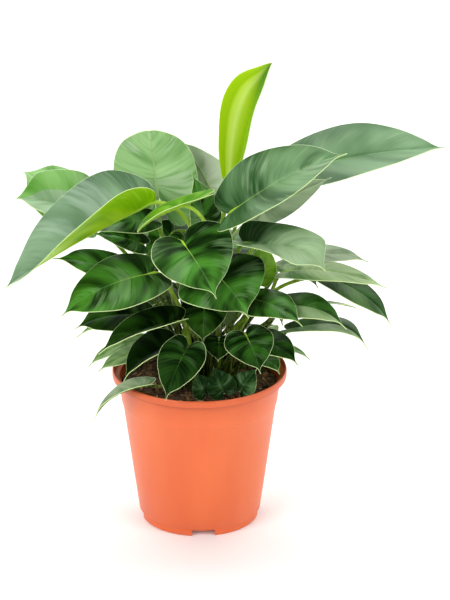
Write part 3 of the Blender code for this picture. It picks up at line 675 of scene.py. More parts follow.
def blade_material(skin, roughness):
    """A leaf's waxed skin. Its veins and margin are drawn from the blade's own maps: Veins runs across and
    along the blade, and Margin holds the distances from the midrib and from the edge, in metres times
    ten. The side veins lie 3 to 6 mm apart and bend a little towards the tip. Broad soft streaks run
    with them, lighter and darker, hazy bands of painted highlight lie over them, and the reflections
    shine greenish. All of it fades low on the plant, where the skin is painted darker and less shiny, as
    shade, and a raised lobe with a colour of its own is painted dark and less shiny in the same way."""
    made, node = new_material(skin.name)
    veins = node("SeparateXYZ", (node("UVMap", uv_map="Veins"),))
    spans = node("SeparateXYZ", (node("UVMap", uv_map="Margin"),))
    rise = veins.outputs[1]
    place = node("TexCoord").outputs["Object"]
    across = node("Math", (veins, 2.0, -1.0), operation="MULTIPLY_ADD")
    reach = node("Math", (across,), operation="ABSOLUTE")
    bent = node("Math", (reach, reach), operation="MULTIPLY")
    along = node("Math", (bent, -VEIN_BEND, rise), operation="MULTIPLY_ADD")
    beat = node("Math", (along, VEIN_COUNT), operation="MULTIPLY")
    side = node("Math", (beat, 0.5), operation="PINGPONG")
    side = node("MapRange", (side, 0.02, 0.2, skin.veins, 0.0), **SMOOTH)
    lie = node("CombineXYZ", (across, along))
    thin = node("Mapping", {0: lie, 3: THIN_STREAKS})
    thin = node("TexNoise", {"Vector": thin, "Scale": 1.0, "Detail": 3.0})
    shift = node("VectorMath", (place, LEAF_SHIFT), operation="MULTIPLY")
    wide = node("Mapping", {0: lie, 3: WIDE_STREAKS})
    wide = node("VectorMath", (wide, shift), operation="ADD")
    wide = node("TexNoise", {"Vector": wide, "Scale": 1.0, "Detail": 1.0})
    height = node("SeparateXYZ", (place,)).outputs[2]
    # Painted shade low on the plant: the lower a leaf stands, the less it keeps of its light green, rib,
    # streaks, highlight bands and shine
    unshaded = node("MapRange", (height, *SHADED_HEIGHTS, 1.0 - skin.aged, 1.0), **SMOOTH)
    patch = node("Math", (along, 0.4, wide), operation="MULTIPLY_ADD")
    patch = node("MapRange", (patch, *skin.bright), **SMOOTH)
    patch = node("Math", (patch, unshaded), operation="MULTIPLY")
    rib = node("Math", (rise, -0.009, 0.012), operation="MULTIPLY_ADD")
    rib = node("MapRange", (spans, 0.002, rib, skin.rib, 0.0), **SMOOTH)
    rib = node("Math", (rib, unshaded), operation="MULTIPLY")
    edge = node("MapRange", (spans.outputs[1], 0.001, 0.005, 1.0, 0.0), **SMOOTH)
    colour = node("Mix", {0: patch, 6: skin.dark, 7: skin.light}, **COLOURS)
    if skin.near:
        other = node("Mix", {0: patch, 6: skin.near[0], 7: skin.near[1]}, **COLOURS)
        half = node("MapRange", (veins, skin.split - 0.01, skin.split + 0.01))
        colour = node("Mix", {0: half, 6: other, 7: colour}, **COLOURS)
    # Painted shade on the far half's raised lobe: mixed towards the lobe colour, it keeps less of its
    # streaks, highlight bands and shine
    if skin.lobe:
        half = node("MapRange", (veins, 0.5, 0.56))
        base = node("MapRange", (rise, 0.40, 0.52, 1.0, 0.0), **SMOOTH)
        half = node("Math", (half, base), operation="MULTIPLY")
        unshaded = node("Math", (half, -0.9, unshaded), operation="MULTIPLY_ADD")
        colour = node("Mix", {0: half, 6: colour, 7: skin.lobe}, **COLOURS)
    fine = node("MapRange", (thin, 0.45, 0.8, 0.0, skin.streaks))
    fine = node("Math", (fine, unshaded), operation="MULTIPLY")
    gap = node("MapRange", (thin, 0.5, 0.25, 0.0, skin.streaks * 1.6))
    # Hazy bands of painted highlight, in the vein colour
    highlight = node("SeparateXYZ", (wide.outputs[1],))
    highlight = node("Math", (thin, 0.5, highlight.outputs[1]), operation="MULTIPLY_ADD")
    highlight = node("MapRange", (highlight, 0.76, 0.98, 0.0, skin.bloom), **SMOOTH)
    highlight = node("Math", (highlight, unshaded), operation="MULTIPLY")
    for share, over in (
        (fine, skin.light),
        (gap, skin.dark),
        (highlight, skin.vein),
        (side, skin.vein),
        (rib, skin.vein),
        (edge, skin.margin),
    ):
        colour = node("Mix", {0: share, 6: colour, 7: over}, **COLOURS)
    swell = node("Math", (wide, 5.0, thin), operation="MULTIPLY_ADD")
    bump = node("Bump", {"Strength": 0.3, "Distance": 0.0003, "Height": swell})
    gloss = node("MapRange", (thin, 0.3, 0.7, roughness - 0.05, roughness + 0.1))
    shine = node("MapRange", (patch, 0.0, 1.0, skin.sheen * 0.35, skin.sheen * 1.3))
    shine = node("Math", (unshaded, shine), operation="MULTIPLY")
    shader = node("BsdfPrincipled", {
        "Base Color": colour,
        "Roughness": gloss,
        "IOR": 1.45,
        "Specular IOR Level": shine,
        "Specular Tint": skin.tint,
        "Normal": bump,
    })
    node("OutputMaterial", (shader,))
    return made


def furled_material():
    """The skin of the youngest leaf, still furled and thinly waxed: lime on one half, then a pale stripe
    beside the midrib, which is a painted highlight, and a greener half. Towards the tip it is painted
    darker, as shade."""
    made, node = new_material("Leaf cuticle, furled")
    veins = node("SeparateXYZ", (node("UVMap", uv_map="Veins"),))
    spans = node("SeparateXYZ", (node("UVMap", uv_map="Margin"),))
    skin = node("ValToRGB", (veins,), FURLED_GREENS_AND_HIGHLIGHT)
    # Painted shade, darker towards the tip
    tip_shade = node("Math", (veins, -0.35, veins.outputs[1]), operation="MULTIPLY_ADD")
    tip_shade = node("MapRange", (tip_shade, 0.45, 0.8, 0.0, 0.85), **SMOOTH)
    skin = node("Mix", {0: tip_shade, 6: skin, 7: "#3A7A26"}, **COLOURS)
    edge = node("MapRange", (spans.outputs[1], 0.002, 0.009, 1.0, 0.0), **SMOOTH)
    skin = node("Mix", {0: edge, 6: skin, 7: "#D6E58F"}, **COLOURS)
    shader = node("BsdfPrincipled", {
        "Base Color": skin,
        "Roughness": 0.38,
        "IOR": 1.45,
        "Specular IOR Level": 0.12,
        "Specular Tint": "#DDFBD2",
    })
    node("OutputMaterial", (shader,))
    return made


def stalk_material(name, low, high):
    """Petiole skin, smooth and juicy: painted darker near the mix, as shade, with fine pale lines along it.
    """
    made, node = new_material(name)
    place = node("TexCoord").outputs["Object"]
    rise = node("SeparateXYZ", (place,)).outputs[2]
    # Painted shade: darker low down, near the mix
    rise = node("MapRange", (rise, 0.2, 0.3), **SMOOTH)
    colour = node("Mix", {0: rise, 6: low, 7: high}, **COLOURS)
    line = node("Mapping", {0: place, 3: (1.0, 1.0, 0.06)})
    line = node("TexNoise", {"Vector": line, "Scale": 420.0, "Detail": 2.0})
    line = node("MapRange", (line, 0.4, 0.7, 0.0, 0.35))
    colour = node("Mix", {0: line, 6: colour, 7: "#B9CF62"}, **COLOURS)
    shader = node("BsdfPrincipled", {
        "Base Color": colour,
        "Roughness": 0.35,
        "IOR": 1.42,
        "Specular IOR Level": 0.25,
        "Specular Tint": "#C8E89A",
    })
    node("OutputMaterial", (shader,))
    return made


def plastic_material(colour, shade):
    """Injection-moulded polypropylene: a satin orange skin with faint flow marks and a fine grain that
    breaks up its shine. The rim shades the wall below it, and leaves a dark line where the two meet."""
    made, node = new_material("Polypropylene, injection moulded")
    place = node("TexCoord").outputs["Object"]
    rise = node("SeparateXYZ", (place,)).outputs[2]
    under = (POT_TOP - LIP_HEIGHT) * MM
    flow = node("Mapping", {0: place, 3: (1.0, 1.0, 0.25)})
    flow = node("TexNoise", {"Vector": flow, "Scale": 26.0, "Detail": 4.0})
    flow = node("MapRange", (flow, 0.3, 0.7))
    grain = node("TexNoise", {"Vector": place, "Scale": 900.0, "Detail": 2.0})
    skin = node("Mix", {0: flow, 6: tuple(shade), 7: tuple(colour)}, **COLOURS)
    dim = node("MapRange", (rise, under - RIM_SHADE * MM, under, 0.0, 0.45))
    skin = node("Mix", {0: dim, 6: skin, 7: "#BC4A1C"}, **COLOURS)
    crease = node("Math", (rise, under), operation="SUBTRACT")
    crease = node("Math", (crease,), operation="ABSOLUTE")
    crease = node("MapRange", (crease, 0.0004, 0.0016, 0.6, 0.0))
    skin = node("Mix", {0: crease, 6: skin, 7: "#8A3210"}, **COLOURS)
    gloss = node("MapRange", (flow, 0.0, 1.0, 0.36, 0.46))
    bump = node("Bump", {"Strength": 0.12, "Distance": 0.0003, "Height": grain})
    shader = node("BsdfPrincipled", {"Base Color": skin, "Roughness": gloss, "IOR": 1.49, "Normal": bump})
    node("OutputMaterial", (shader,))
    return made


def crumb_material(name, dark, pale, scale):
    """Loose organic matter, dry on top: fibres and crumbs in several browns, without any shine."""
    made, node = new_material(name)
    place = node("TexCoord").outputs["Object"]
    crumb = node("TexNoise", {"Vector": place, "Scale": scale, "Detail": 5.0})
    tone = node("MapRange", (crumb, 0.35, 0.7))
    colour = node("Mix", {0: tone, 6: dark, 7: pale}, **COLOURS)
    bump = node("Bump", {"Strength": 0.8, "Distance": 0.001, "Height": crumb})
    shader = node("BsdfPrincipled", {"Base Color": colour, "Roughness": 0.9, "Normal": bump})
    node("OutputMaterial", (shader,))
    return made


class PotSettings(bpy.types.PropertyGroup):
    """What a user may change on the pot."""

    colour: bpy.props.FloatVectorProperty(
        name="Plastic",
        description="Colour of the moulded plastic, linear",
        subtype="COLOR",
        size=4,
        min=0,
        max=1,
        default=linear("#E46E39"),
    )
    shade: bpy.props.FloatVectorProperty(
        name="Flow marks",
        description="Darker colour in the plastic's flow marks, linear",
        subtype="COLOR",
        size=4,
        min=0,
        max=1,
        default=linear("#DE6432"),
    )
    band_step: bpy.props.FloatProperty(
        name="Band step",
        description="How far the band under the rim stands proud",
        subtype="DISTANCE",
        unit="LENGTH",
        default=BAND_STEP * MM,
    )


class MixSettings(bpy.types.PropertyGroup):
    """What a user may change on the potting mix."""

    chips: bpy.props.IntProperty(name="Chips", description="How many bark chips lie on the mix", default=520)
    chip_length: bpy.props.FloatProperty(
        name="Chip length",
        description="Length of a large bark chip",
        subtype="DISTANCE",
        unit="LENGTH",
        default=0.011,
    )


class LeafSettings(bpy.types.PropertyGroup):
    """What a user may change on the leaves."""

    thickness: bpy.props.FloatProperty(
        name="Blade thickness",
        description="Thickness of a blade",
        subtype="DISTANCE",
        unit="LENGTH",
        default=BLADE_THICKNESS * MM,
    )
    roughness: bpy.props.FloatProperty(
        name="Roughness",
        description="Roughness of the glossiest leaves, which the other skins follow",
        subtype="FACTOR",
        default=0.30,
        min=0.05,
        max=1.0,
    )


class StageSettings(bpy.types.PropertyGroup):
    """What a user may change on the stage."""

    distance: bpy.props.FloatProperty(
        name="Camera distance",
        description="Distance from the camera to the middle of the view",
        subtype="DISTANCE",
        unit="LENGTH",
        default=VIEW_DISTANCE * MM,
    )
    key: bpy.props.FloatProperty(
        name="Lights", description="Brightness of the soft lights, 1 as photographed", min=0, default=1.0
    )
    glow: bpy.props.FloatProperty(
        name="Backlight", description="Light that shines up through the white floor", min=0, default=0.07
    )
    sky: bpy.props.FloatProperty(
        name="Surround", description="Brightness of the white wall", min=0, default=1.1
    )


class PHILODENDRON_OT_pot(bpy.types.Operator):
    """Model the pot: wall, stepped rim, band, foot ring with its notches, and floor with its drains."""

    bl_idname = "philodendron.pot"
    bl_label = "Make the Pot"

    def execute(self, context):
        settings = context.scene.philodendron_pot
        pot = ring_lathe("grower_pot", pot_rings(settings.band_step / MM), POT_SIDES)
        for k in range(NOTCH_COUNT):
            angle = -math.pi / 2 + NOTCH_TURN + 2 * math.pi * k / NOTCH_COUNT
            outward = Vector((math.cos(angle), math.sin(angle), 0.0))
            bpy.ops.mesh.primitive_cube_add(
                size=1, location=outward * (FOOT_RADIUS - 2) * MM, rotation=(0, 0, angle)
            )
            block = context.object
            block.scale = Vector((NOTCH_DEPTH, NOTCH_WIDTH, NOTCH_HEIGHT * 2)) * MM
            cut_away(pot, block)
        for k in range(DRAIN_COUNT):
            angle = NOTCH_TURN + 2 * math.pi * (k + 0.5) / DRAIN_COUNT
            bpy.ops.mesh.primitive_cylinder_add(
                vertices=DRAIN_SIDES,
                radius=DRAIN_RADIUS * MM,
                depth=(FLOOR_TOP - FLOOR_UNDERSIDE + 4) * MM,
                location=Vector((math.cos(angle), math.sin(angle), 0.0)) * DRAIN_CIRCLE_RADIUS * MM
                + Vector((0.0, 0.0, (FLOOR_TOP + FLOOR_UNDERSIDE) / 2 * MM)),
            )
            cut_away(pot, context.object)
        select_only(pot)
        bpy.ops.object.shade_smooth_by_angle(angle=POT_SMOOTH)
        pot.data.materials.append(plastic_material(settings.colour, settings.shade))
        hand_over(pot, "pot", "pot")
        return {"FINISHED"}


def pot_rings(step):
    """The pot's rings as radius and height, from the pad under it, out and up the outer side, over the
    rim and down the inner side to the floor. Each edge is rounded by a few close rings."""
    under = POT_TOP - LIP_HEIGHT
    band = under - BAND_HEIGHT
    lip = RIM_RADIUS - LIP_WALL
    top = WALL_TOP_RADIUS
    wall = top - WALL_THICKNESS
    slope = (top - WALL_FOOT_RADIUS) / (under - FOOT_HEIGHT)
    well = WALL_FOOT_RADIUS - WALL_THICKNESS
    foot = FOOT_RADIUS - FOOT_THICKNESS
    return (
        (PAD_RADIUS - 0.6, 0.0),
        (PAD_RADIUS, 0.5),
        (PAD_RADIUS + 0.6, FLOOR_UNDERSIDE - 0.5),
        (PAD_RADIUS + 1.2, FLOOR_UNDERSIDE),
        (foot - 1.0, FLOOR_UNDERSIDE),
        (foot - 0.4, FLOOR_UNDERSIDE - 0.5),
        (foot, 0.5),
        (foot + 0.4, 0.0),
        (FOOT_RADIUS - 0.6, 0.0),
        (FOOT_RADIUS - 0.1, 0.4),
        (FOOT_RADIUS + 0.3, FOOT_HEIGHT - 1.0),
        (FOOT_RADIUS + 0.5, FOOT_HEIGHT - 0.5),
        (WALL_FOOT_RADIUS - 0.4, FOOT_HEIGHT),
        (WALL_FOOT_RADIUS, FOOT_HEIGHT + 0.5),
        (WALL_FOOT_RADIUS + slope * 40, FOOT_HEIGHT + 40),
        (WALL_FOOT_RADIUS + slope * 80, FOOT_HEIGHT + 80),
        (top - slope * (BAND_HEIGHT + 0.6), band - 0.6),
        (top - slope * BAND_HEIGHT + step * 0.3, band - 0.1),
        (top - slope * BAND_HEIGHT + step * 0.8, band + 0.4),
        (top - slope * (BAND_HEIGHT - 1.2) + step, band + 1.2),
        (top - slope * 4 + step, under - 4),
        (top + step, under - 1.2),
        (top + step + 0.5, under - 0.2),
        (top + step + 1.2, under),
        (RIM_RADIUS - 1.2, under),
        (RIM_RADIUS - 0.3, under + 0.4),
        (RIM_RADIUS, under + 1.3),
        (RIM_RADIUS, POT_TOP - 1.5),
        (RIM_RADIUS - 0.25, POT_TOP - 0.6),
        (RIM_RADIUS - 0.7, POT_TOP - 0.1),
        (RIM_RADIUS - 1.0, POT_TOP),
        (lip + 0.3, POT_TOP - 0.15),
        (lip, POT_TOP - 0.6),
        (lip - 0.7, under + 2.6),
        (lip - 1.4, under + 1.9),
        (wall + 0.8, under + 1.2),
        (wall + 0.1, under + 0.4),
        (wall, under - 1.0),
        (well, FLOOR_TOP + 2.4),
        (well - 0.6, FLOOR_TOP + 0.6),
        (well - 1.8, FLOOR_TOP),
        (20.0, FLOOR_TOP),
    )


class PHILODENDRON_OT_mix(bpy.types.Operator):
    """Model the potting mix: its rough top, and the bark chips that lie on it."""

    bl_idname = "philodendron.mix"
    bl_label = "Make the Potting Mix"

    def execute(self, context):
        settings = context.scene.philodendron_mix
        radius = wall_inside(SOIL_HEIGHT) - SOIL_GAP
        bpy.ops.object.select_all(action="DESELECT")
        bpy.ops.mesh.primitive_grid_add(x_subdivisions=SOIL_CELLS, y_subdivisions=SOIL_CELLS, size=2)
        mix = name_active("bark_mix")
        for vert in mix.data.vertices:
            x, y, _ = vert.co
            x, y = x * math.sqrt(1 - y * y / 2), y * math.sqrt(1 - x * x / 2)
            spot = Vector((x * radius, y * radius, 0.0))
            vert.co = Vector((spot.x, spot.y, mix_height(spot))) * MM
        bpy.ops.object.mode_set(mode="EDIT")
        bpy.ops.mesh.select_all(action="SELECT")
        bpy.ops.mesh.region_to_loop()
        bpy.ops.mesh.extrude_region_move(TRANSFORM_OT_translate={"value": (0, 0, -SOIL_SKIRT * MM)})
        bpy.ops.mesh.edge_face_add()
        bpy.ops.object.mode_set(mode="OBJECT")
        turn_outwards()
        bpy.ops.object.shade_smooth_by_angle(angle=MIX_SMOOTH)
        mix.data.materials.append(crumb_material("Potting mix, moist peat", "#2E2013", "#7A5A3A", 300.0))
        hand_over(mix, "mix", "soil")
        chips = scatter_chips(settings.chips, settings.chip_length / MM, radius)
        hand_over(chips, "mix", "soil")
        return {"FINISHED"}


def wall_inside(height):
    """The radius of the pot's inner wall at a height."""
    under = POT_TOP - LIP_HEIGHT
    slope = (WALL_TOP_RADIUS - WALL_FOOT_RADIUS) / (under - FOOT_HEIGHT)
    return WALL_TOP_RADIUS - slope * (under - height) - WALL_THICKNESS


def mix_height(spot):
    """The height of the mix's rough top: crumbs on slow heaps, a little higher in the middle."""
    heap = noise.noise(spot * 0.05 + Vector((3.1, 0.0, 0.0))) * SOIL_RELIEF
    crumb = sum(noise.noise(spot * fine) * high for fine, high in SOIL_CRUMBS)
    sink = SOIL_SINK * (spot.length / wall_inside(SOIL_HEIGHT)) ** 4
    return SOIL_HEIGHT + heap + crumb - sink


def scatter_chips(count, length, radius):
    """Bark chips: three broken flakes, each modelled once and copied, lie at random on the mix."""
    draw = random.Random(CHIP_SEED)
    chips = []
    for kind, (name, dark, pale, share, slim, long) in enumerate(CHIPS):
        bpy.ops.mesh.primitive_ico_sphere_add(subdivisions=2, radius=1, location=(0, 0, 0))
        flake = bpy.context.object
        for vert in flake.data.vertices:
            jag = 1 + CHIP_JAG * noise.noise(vert.co * 1.7 + Vector((kind * 5.0, 0.0, 0.0)))
            vert.co = vert.co * jag
        flake.data.materials.append(crumb_material(name, dark, pale, 700.0))
        select_only(flake)
        bpy.ops.object.shade_flat()
        for _ in range(round(count * share)):
            way = draw.uniform(0, 2 * math.pi)
            out = radius * math.sqrt(draw.random()) * CHIP_REACH
            spot = Vector((math.cos(way) * out, math.sin(way) * out, 0.0))
            size = length * draw.uniform(*CHIP_SIZES) ** 1.5 / 2 * long
            copy = flake.copy()
            copy.data = flake.data.copy()
            turn = Euler((draw.gauss(0, CHIP_TILT), draw.gauss(0, CHIP_TILT), draw.uniform(0, 6.3)))
            copy.matrix_world = turn.to_matrix().to_4x4()
            broad = size * draw.uniform(*CHIP_BREADTHS) * slim
            thick = size * draw.uniform(*CHIP_THICKNESSES) * slim
            stretch = Vector((size, broad, thick))
            lift = Vector((spot.x, spot.y, mix_height(spot) + thick * 0.5))
            for vert in copy.data.vertices:
                spot = copy.matrix_world @ (vert.co * stretch) + lift
                inside = min((radius - CHIP_GAP) / math.hypot(spot.x, spot.y), 1.0)
                vert.co = Vector((spot.x * inside, spot.y * inside, spot.z)) * MM
            copy.matrix_world.identity()
            bpy.context.collection.objects.link(copy)
            chips.append(copy)
        bpy.data.objects.remove(flake)
    select_only(*chips)
    bpy.ops.object.join()
    return name_active("bark_chips")


class PHILODENDRON_OT_leaves(bpy.types.Operator):
    """Model every leaf: its blade and the petiole that carries it, in one piece."""

    bl_idname = "philodendron.leaves"
    bl_label = "Make the Leaves"

    def execute(self, context):
        settings = context.scene.philodendron_leaves
        skins = leaf_skins(settings.roughness)
        spots = root_spots()
        paths = {leaf.name: petiole_path(leaf, spots[leaf.name]) for leaf in LEAVES}
        radii = {leaf.name: petiole_radii(leaf) for leaf in LEAVES}
        spread_petioles(paths, radii)
        for leaf in LEAVES:
            upper = look_of(leaf, UPPERSIDES, leaf.tone)
            under = look_of(leaf, UNDERSIDES, leaf.tone + "_under")
            blade = make_blade(leaf, settings.thickness, [skins[look] for look in (upper, under, "edge")])
            stalk = make_stalk(leaf, paths[leaf.name], radii[leaf.name])
            stalk.data.materials.append(skins[look_of(leaf, STALKS, "stalk")])
            select_only(blade, stalk)
            bpy.ops.object.join()
            hand_over(blade, "leaf_" + leaf.tone, leaf.name)
        return {"FINISHED"}


# The skins of the blades. dark and light are the blade's greens, and vein and margin the colours of those;
# vein also colours the bands of painted highlight. rougher is added to the roughness of the glossiest
# skin, and sheen is how strongly the skin reflects. veins and rib are how much of their colour shows,
# and aged is how far all this fades and darkens on the lowest leaves, as painted shade. tint
# colours the reflections, and bright gives the pattern's levels at which the light green starts and is
# full. near holds the greens of the half that lies on the near side of split, painted sheen where they
# are paler and painted shade where they are darker, and lobe is the painted shade on the far half's
# raised lobe. streaks and bloom say how strong the streaks and the painted highlight bands are.
Skin = namedtuple(
    "Skin",
    "name dark light vein margin rougher sheen veins rib aged tint bright near lobe split streaks bloom",
    defaults=(0.06, 0.5, 0.0, "#DDFBD2", (0.52, 0.82), None, None, 0.5, 0.25, 0.2),
)

SKINS = {
    "deep": Skin("Leaf cuticle, glossy dark", "#051903", "#468428", "#84AE72", "#CCE0A4",
                 0.0, 0.55, 0.02, 0.35, 0.85, "#A2E07F", (0.56, 1.0), streaks=0.16, bloom=0.36),
    # A darker copy of the deep skin, as painted shade, for the leaves low in the plant
    "aged": Skin("Leaf cuticle, aged dark", "#041402", "#2C5614", "#5F8A44", "#B4CC8C",
                 0.0, 0.35, 0.02, 0.3, 0.8, "#A2E07F", (0.56, 1.0), streaks=0.12),
    "shaded": Skin("Leaf cuticle, shaded seedling", "#081E05", "#23481C", "#6F9068", "#3C5E28",
                   0.0, 0.5, 0.02, 0.2, 0.2, "#B4E89A", (0.5, 0.9), bloom=0.5),
    "mid": Skin("Leaf cuticle, satin green", "#0C3004", "#4A8A2A", "#9DC084", "#D0E2AC",
                0.05, 0.5, 0.04, 0.4, 0.5, "#B4E89A", (0.5, 0.95), bloom=0.35),
    # Their near halves carry painted light: painted sheen on the first, painted shade on the second
    "split": Skin("Leaf cuticle, half turned away", "#0A2405", "#2F5F1B", "#8DB46C", "#CFE0AE",
                  0.05, 0.4, 0.04, 0.5, 0.3, "#B4E89A", (0.5, 0.9), near=("#6A8C52", "#9AB384")),
    "half_lit": Skin("Leaf cuticle, half lit", "#0E2C08", "#2A5818", "#6F9A52", "#CFE0AE",
                     0.05, 0.3, 0.04, 0.3, 0.3, "#B4E89A", (0.5, 0.95), near=("#1C3F14", "#4A6E36")),
    # These skins' greys are painted sheen, over their strong real shine; the last one's lobe is painted shade
    "hazed_and_painted_sheen": Skin("Leaf cuticle, waxy", "#1C4618", "#5C8452", "#9ABA8C", "#CFE0B4",
                  0.08, 1.0, 0.04, 0.4, bright=(0.48, 0.95), streaks=0.32, bloom=0.42),
    "waxy_and_painted_sheen": Skin("Leaf cuticle, even wax", "#335C30", "#557D4F", "#8FB085", "#CFE0B4",
                 0.1, 1.0, 0.03, 0.3, bright=(0.45, 1.0), streaks=0.16, bloom=0.22),
    "frosted_and_painted_sheen": Skin("Leaf cuticle, thick wax", "#42643F", "#73956F", "#A3B9A6", "#D6E5C0",
                    0.12, 1.0, 0.03, 0.25, bright=(0.45, 1.0), streaks=0.3, bloom=0.42),
    "twofold": Skin("Leaf cuticle, thick wax and fresh edge", "#4F8A2C", "#76AC52", "#A9C29C", "#D6E5C0",
                    0.12, 0.8, 0.04, 0.4, bright=(0.5, 0.9), near=("#6C8C66", "#92AE89"), split=0.7),
    "folded": Skin("Leaf cuticle, thick wax and dark lobe", "#35602C", "#8CAA7A", "#A9C29C", "#D6E5C0",
                   0.12, 0.9, 0.04, 0.4, bright=(0.45, 0.85), lobe="#0C2A03"),
    "grey_olive": Skin("Leaf cuticle, grey olive", "#5F7A52", "#93A680", "#B9C8A8", "#D5E0C0",
                       0.1, 0.6, 0.04, 0.4, bright=(0.5, 0.9)),
    "sage": Skin("Leaf cuticle, sage", "#3A6820", "#92AE70", "#C9DCAE", "#D5E6B8",
                 0.08, 0.45, 0.05, bright=(0.5, 0.8)),
    "meadow": Skin("Leaf cuticle, meadow green", "#3A661F", "#73934B", "#A5BE84", "#D5E6B8",
                   0.08, 0.35, 0.05, bright=(0.5, 0.9)),
    "fresh": Skin("Leaf cuticle, new", "#4F8A34", "#86B865", "#C9DCAE", "#D5E6B8",
                  0.04, 0.8, 0.08, bright=(0.5, 0.9)),
    "pale": Skin("Leaf cuticle, pale", "#5E8750", "#8FB07C", "#B9D0A2", "#DDE8CB", 0.1, 0.5),
    "fresh_lime": Skin("Leaf cuticle, fresh green", "#47830F", "#79AE22", "#B4D95A", "#D5E889",
                       0.05, 0.5, 0.05, 0.6),
    "deep_under": Skin("Leaf underside, matte", "#2B4A1E", "#466A36", "#93AF7C", "#C9DAAE",
                       0.3, 0.2, aged=0.5),
    "mid_under": Skin("Leaf underside, light", "#4B7A38", "#6B9A52", "#B4CFA0", "#D9E6C2", 0.25, 0.2),
    "pale_under": Skin("Leaf underside, pale", "#7EA46C", "#9ABB86", "#BFD4AC", "#E3EDD0", 0.25, 0.2),
    "lime_under": Skin("Leaf underside, young", "#7CB208", "#A2D00C", "#C6E35A", "#E3F09A",
                       0.15, 0.3, 0.05),
    "fresh_under": Skin("Leaf underside, new", "#62A048", "#B4E09A", "#EAF6E0", "#DDEBC4",
                        0.04, 0.9, tint="#EFFFE8", bright=(0.45, 0.95), streaks=0.3, bloom=0.35),
    "olive": Skin("Leaf underside, olive", "#809975", "#ABC09A", "#B9C8A8", "#CFDABB", 0.2, 0.5, 0.05),
    "olive_light": Skin("Leaf underside, olive grey", "#C0D4AE", "#E0EAD6", "#E2EADA", "#DCE5CC",
                        0.2, 0.5, 0.1),
    "edge": Skin("Leaf edge, clear", "#B4CF7E", "#C8DE96", "#C8DE96", "#C8DE96", 0.1, 0.2),
}

# The skins of the petioles: name, and colours low down and high up. The darker low colours are painted
# shade, and the first skin is darker still, painted as a shadowed copy.
STALK_SKINS = {
    "stalk": ("Petiole skin, old", "#182808", "#6F9828"),
    "pale_stalk": ("Petiole skin, pale", "#56742A", "#B2D296"),
    "olive_stalk": ("Petiole skin, olive", "#4E6430", "#A4B98E"),
    "young_stalk": ("Petiole skin, young", "#6E8E22", "#9CC23C"),
}

# Leaves whose petiole, upper side or underside looks other than their tone says
STALKS = {
    "pale_stalk": ("leaf_top_left",),
    "olive_stalk": ("leaf_top_middle", "leaf_top_right_under"),
    "young_stalk": (
        "leaf_top_new", "leaf_top_right_near", "leaf_left_long", "leaf_left_front", "leaf_centre_lime",
        "leaf_centre_front", "leaf_centre_low", "leaf_right_light", "leaf_right_arched", "leaf_right_heart",
    ),
}
UPPERSIDES = {
    "furled": ("leaf_top_new",),
    "waxy_and_painted_sheen": ("leaf_top_right",),
    "hazed_and_painted_sheen": ("leaf_top_right_near",),
    "frosted_and_painted_sheen": ("leaf_left_long",),
    "fresh": ("leaf_left_high",),
    "twofold": ("leaf_left_high_near",),
    "folded": ("leaf_right_folded",),
    "grey_olive": ("leaf_right_grey", "leaf_over_rim"),
    "sage": ("leaf_right_light",),
    "split": ("leaf_right_behind", "leaf_right_low"),
    "half_lit": ("leaf_right_arched",),
    "shaded": ("leaf_pot_front_left", "leaf_pot_front_middle", "leaf_pot_front_right"),
    "fresh_lime": ("leaf_centre_rolled", "leaf_centre_lime"),
    "meadow": ("leaf_left_pale", "leaf_left_pale_near", "leaf_left_low_back"),
    "aged": (
        "leaf_left_narrow", "leaf_left_rim", "leaf_left_low", "leaf_centre_small", "leaf_centre_dark",
    ),
    "deep": ("leaf_centre_upright",),
}
UNDERSIDES = {
    "lime_under": ("leaf_left_long",),
    "fresh_under": ("leaf_top_left",),
    "olive_light": ("leaf_top_middle",),
    "olive": ("leaf_top_right_under",),
}


def look_of(leaf, looks, usual):
    """The look that a table of looks gives a leaf, or else the usual one."""
    return next((look for look, names in looks.items() if leaf.name in names), usual)


def leaf_skins(roughness):
    """The materials of blades and petioles, by look."""
    skins = {look: blade_material(skin, roughness + skin.rougher) for look, skin in SKINS.items()}
    for look, colours in STALK_SKINS.items():
        skins[look] = stalk_material(*colours)
    skins["furled"] = furled_material()
    return skins


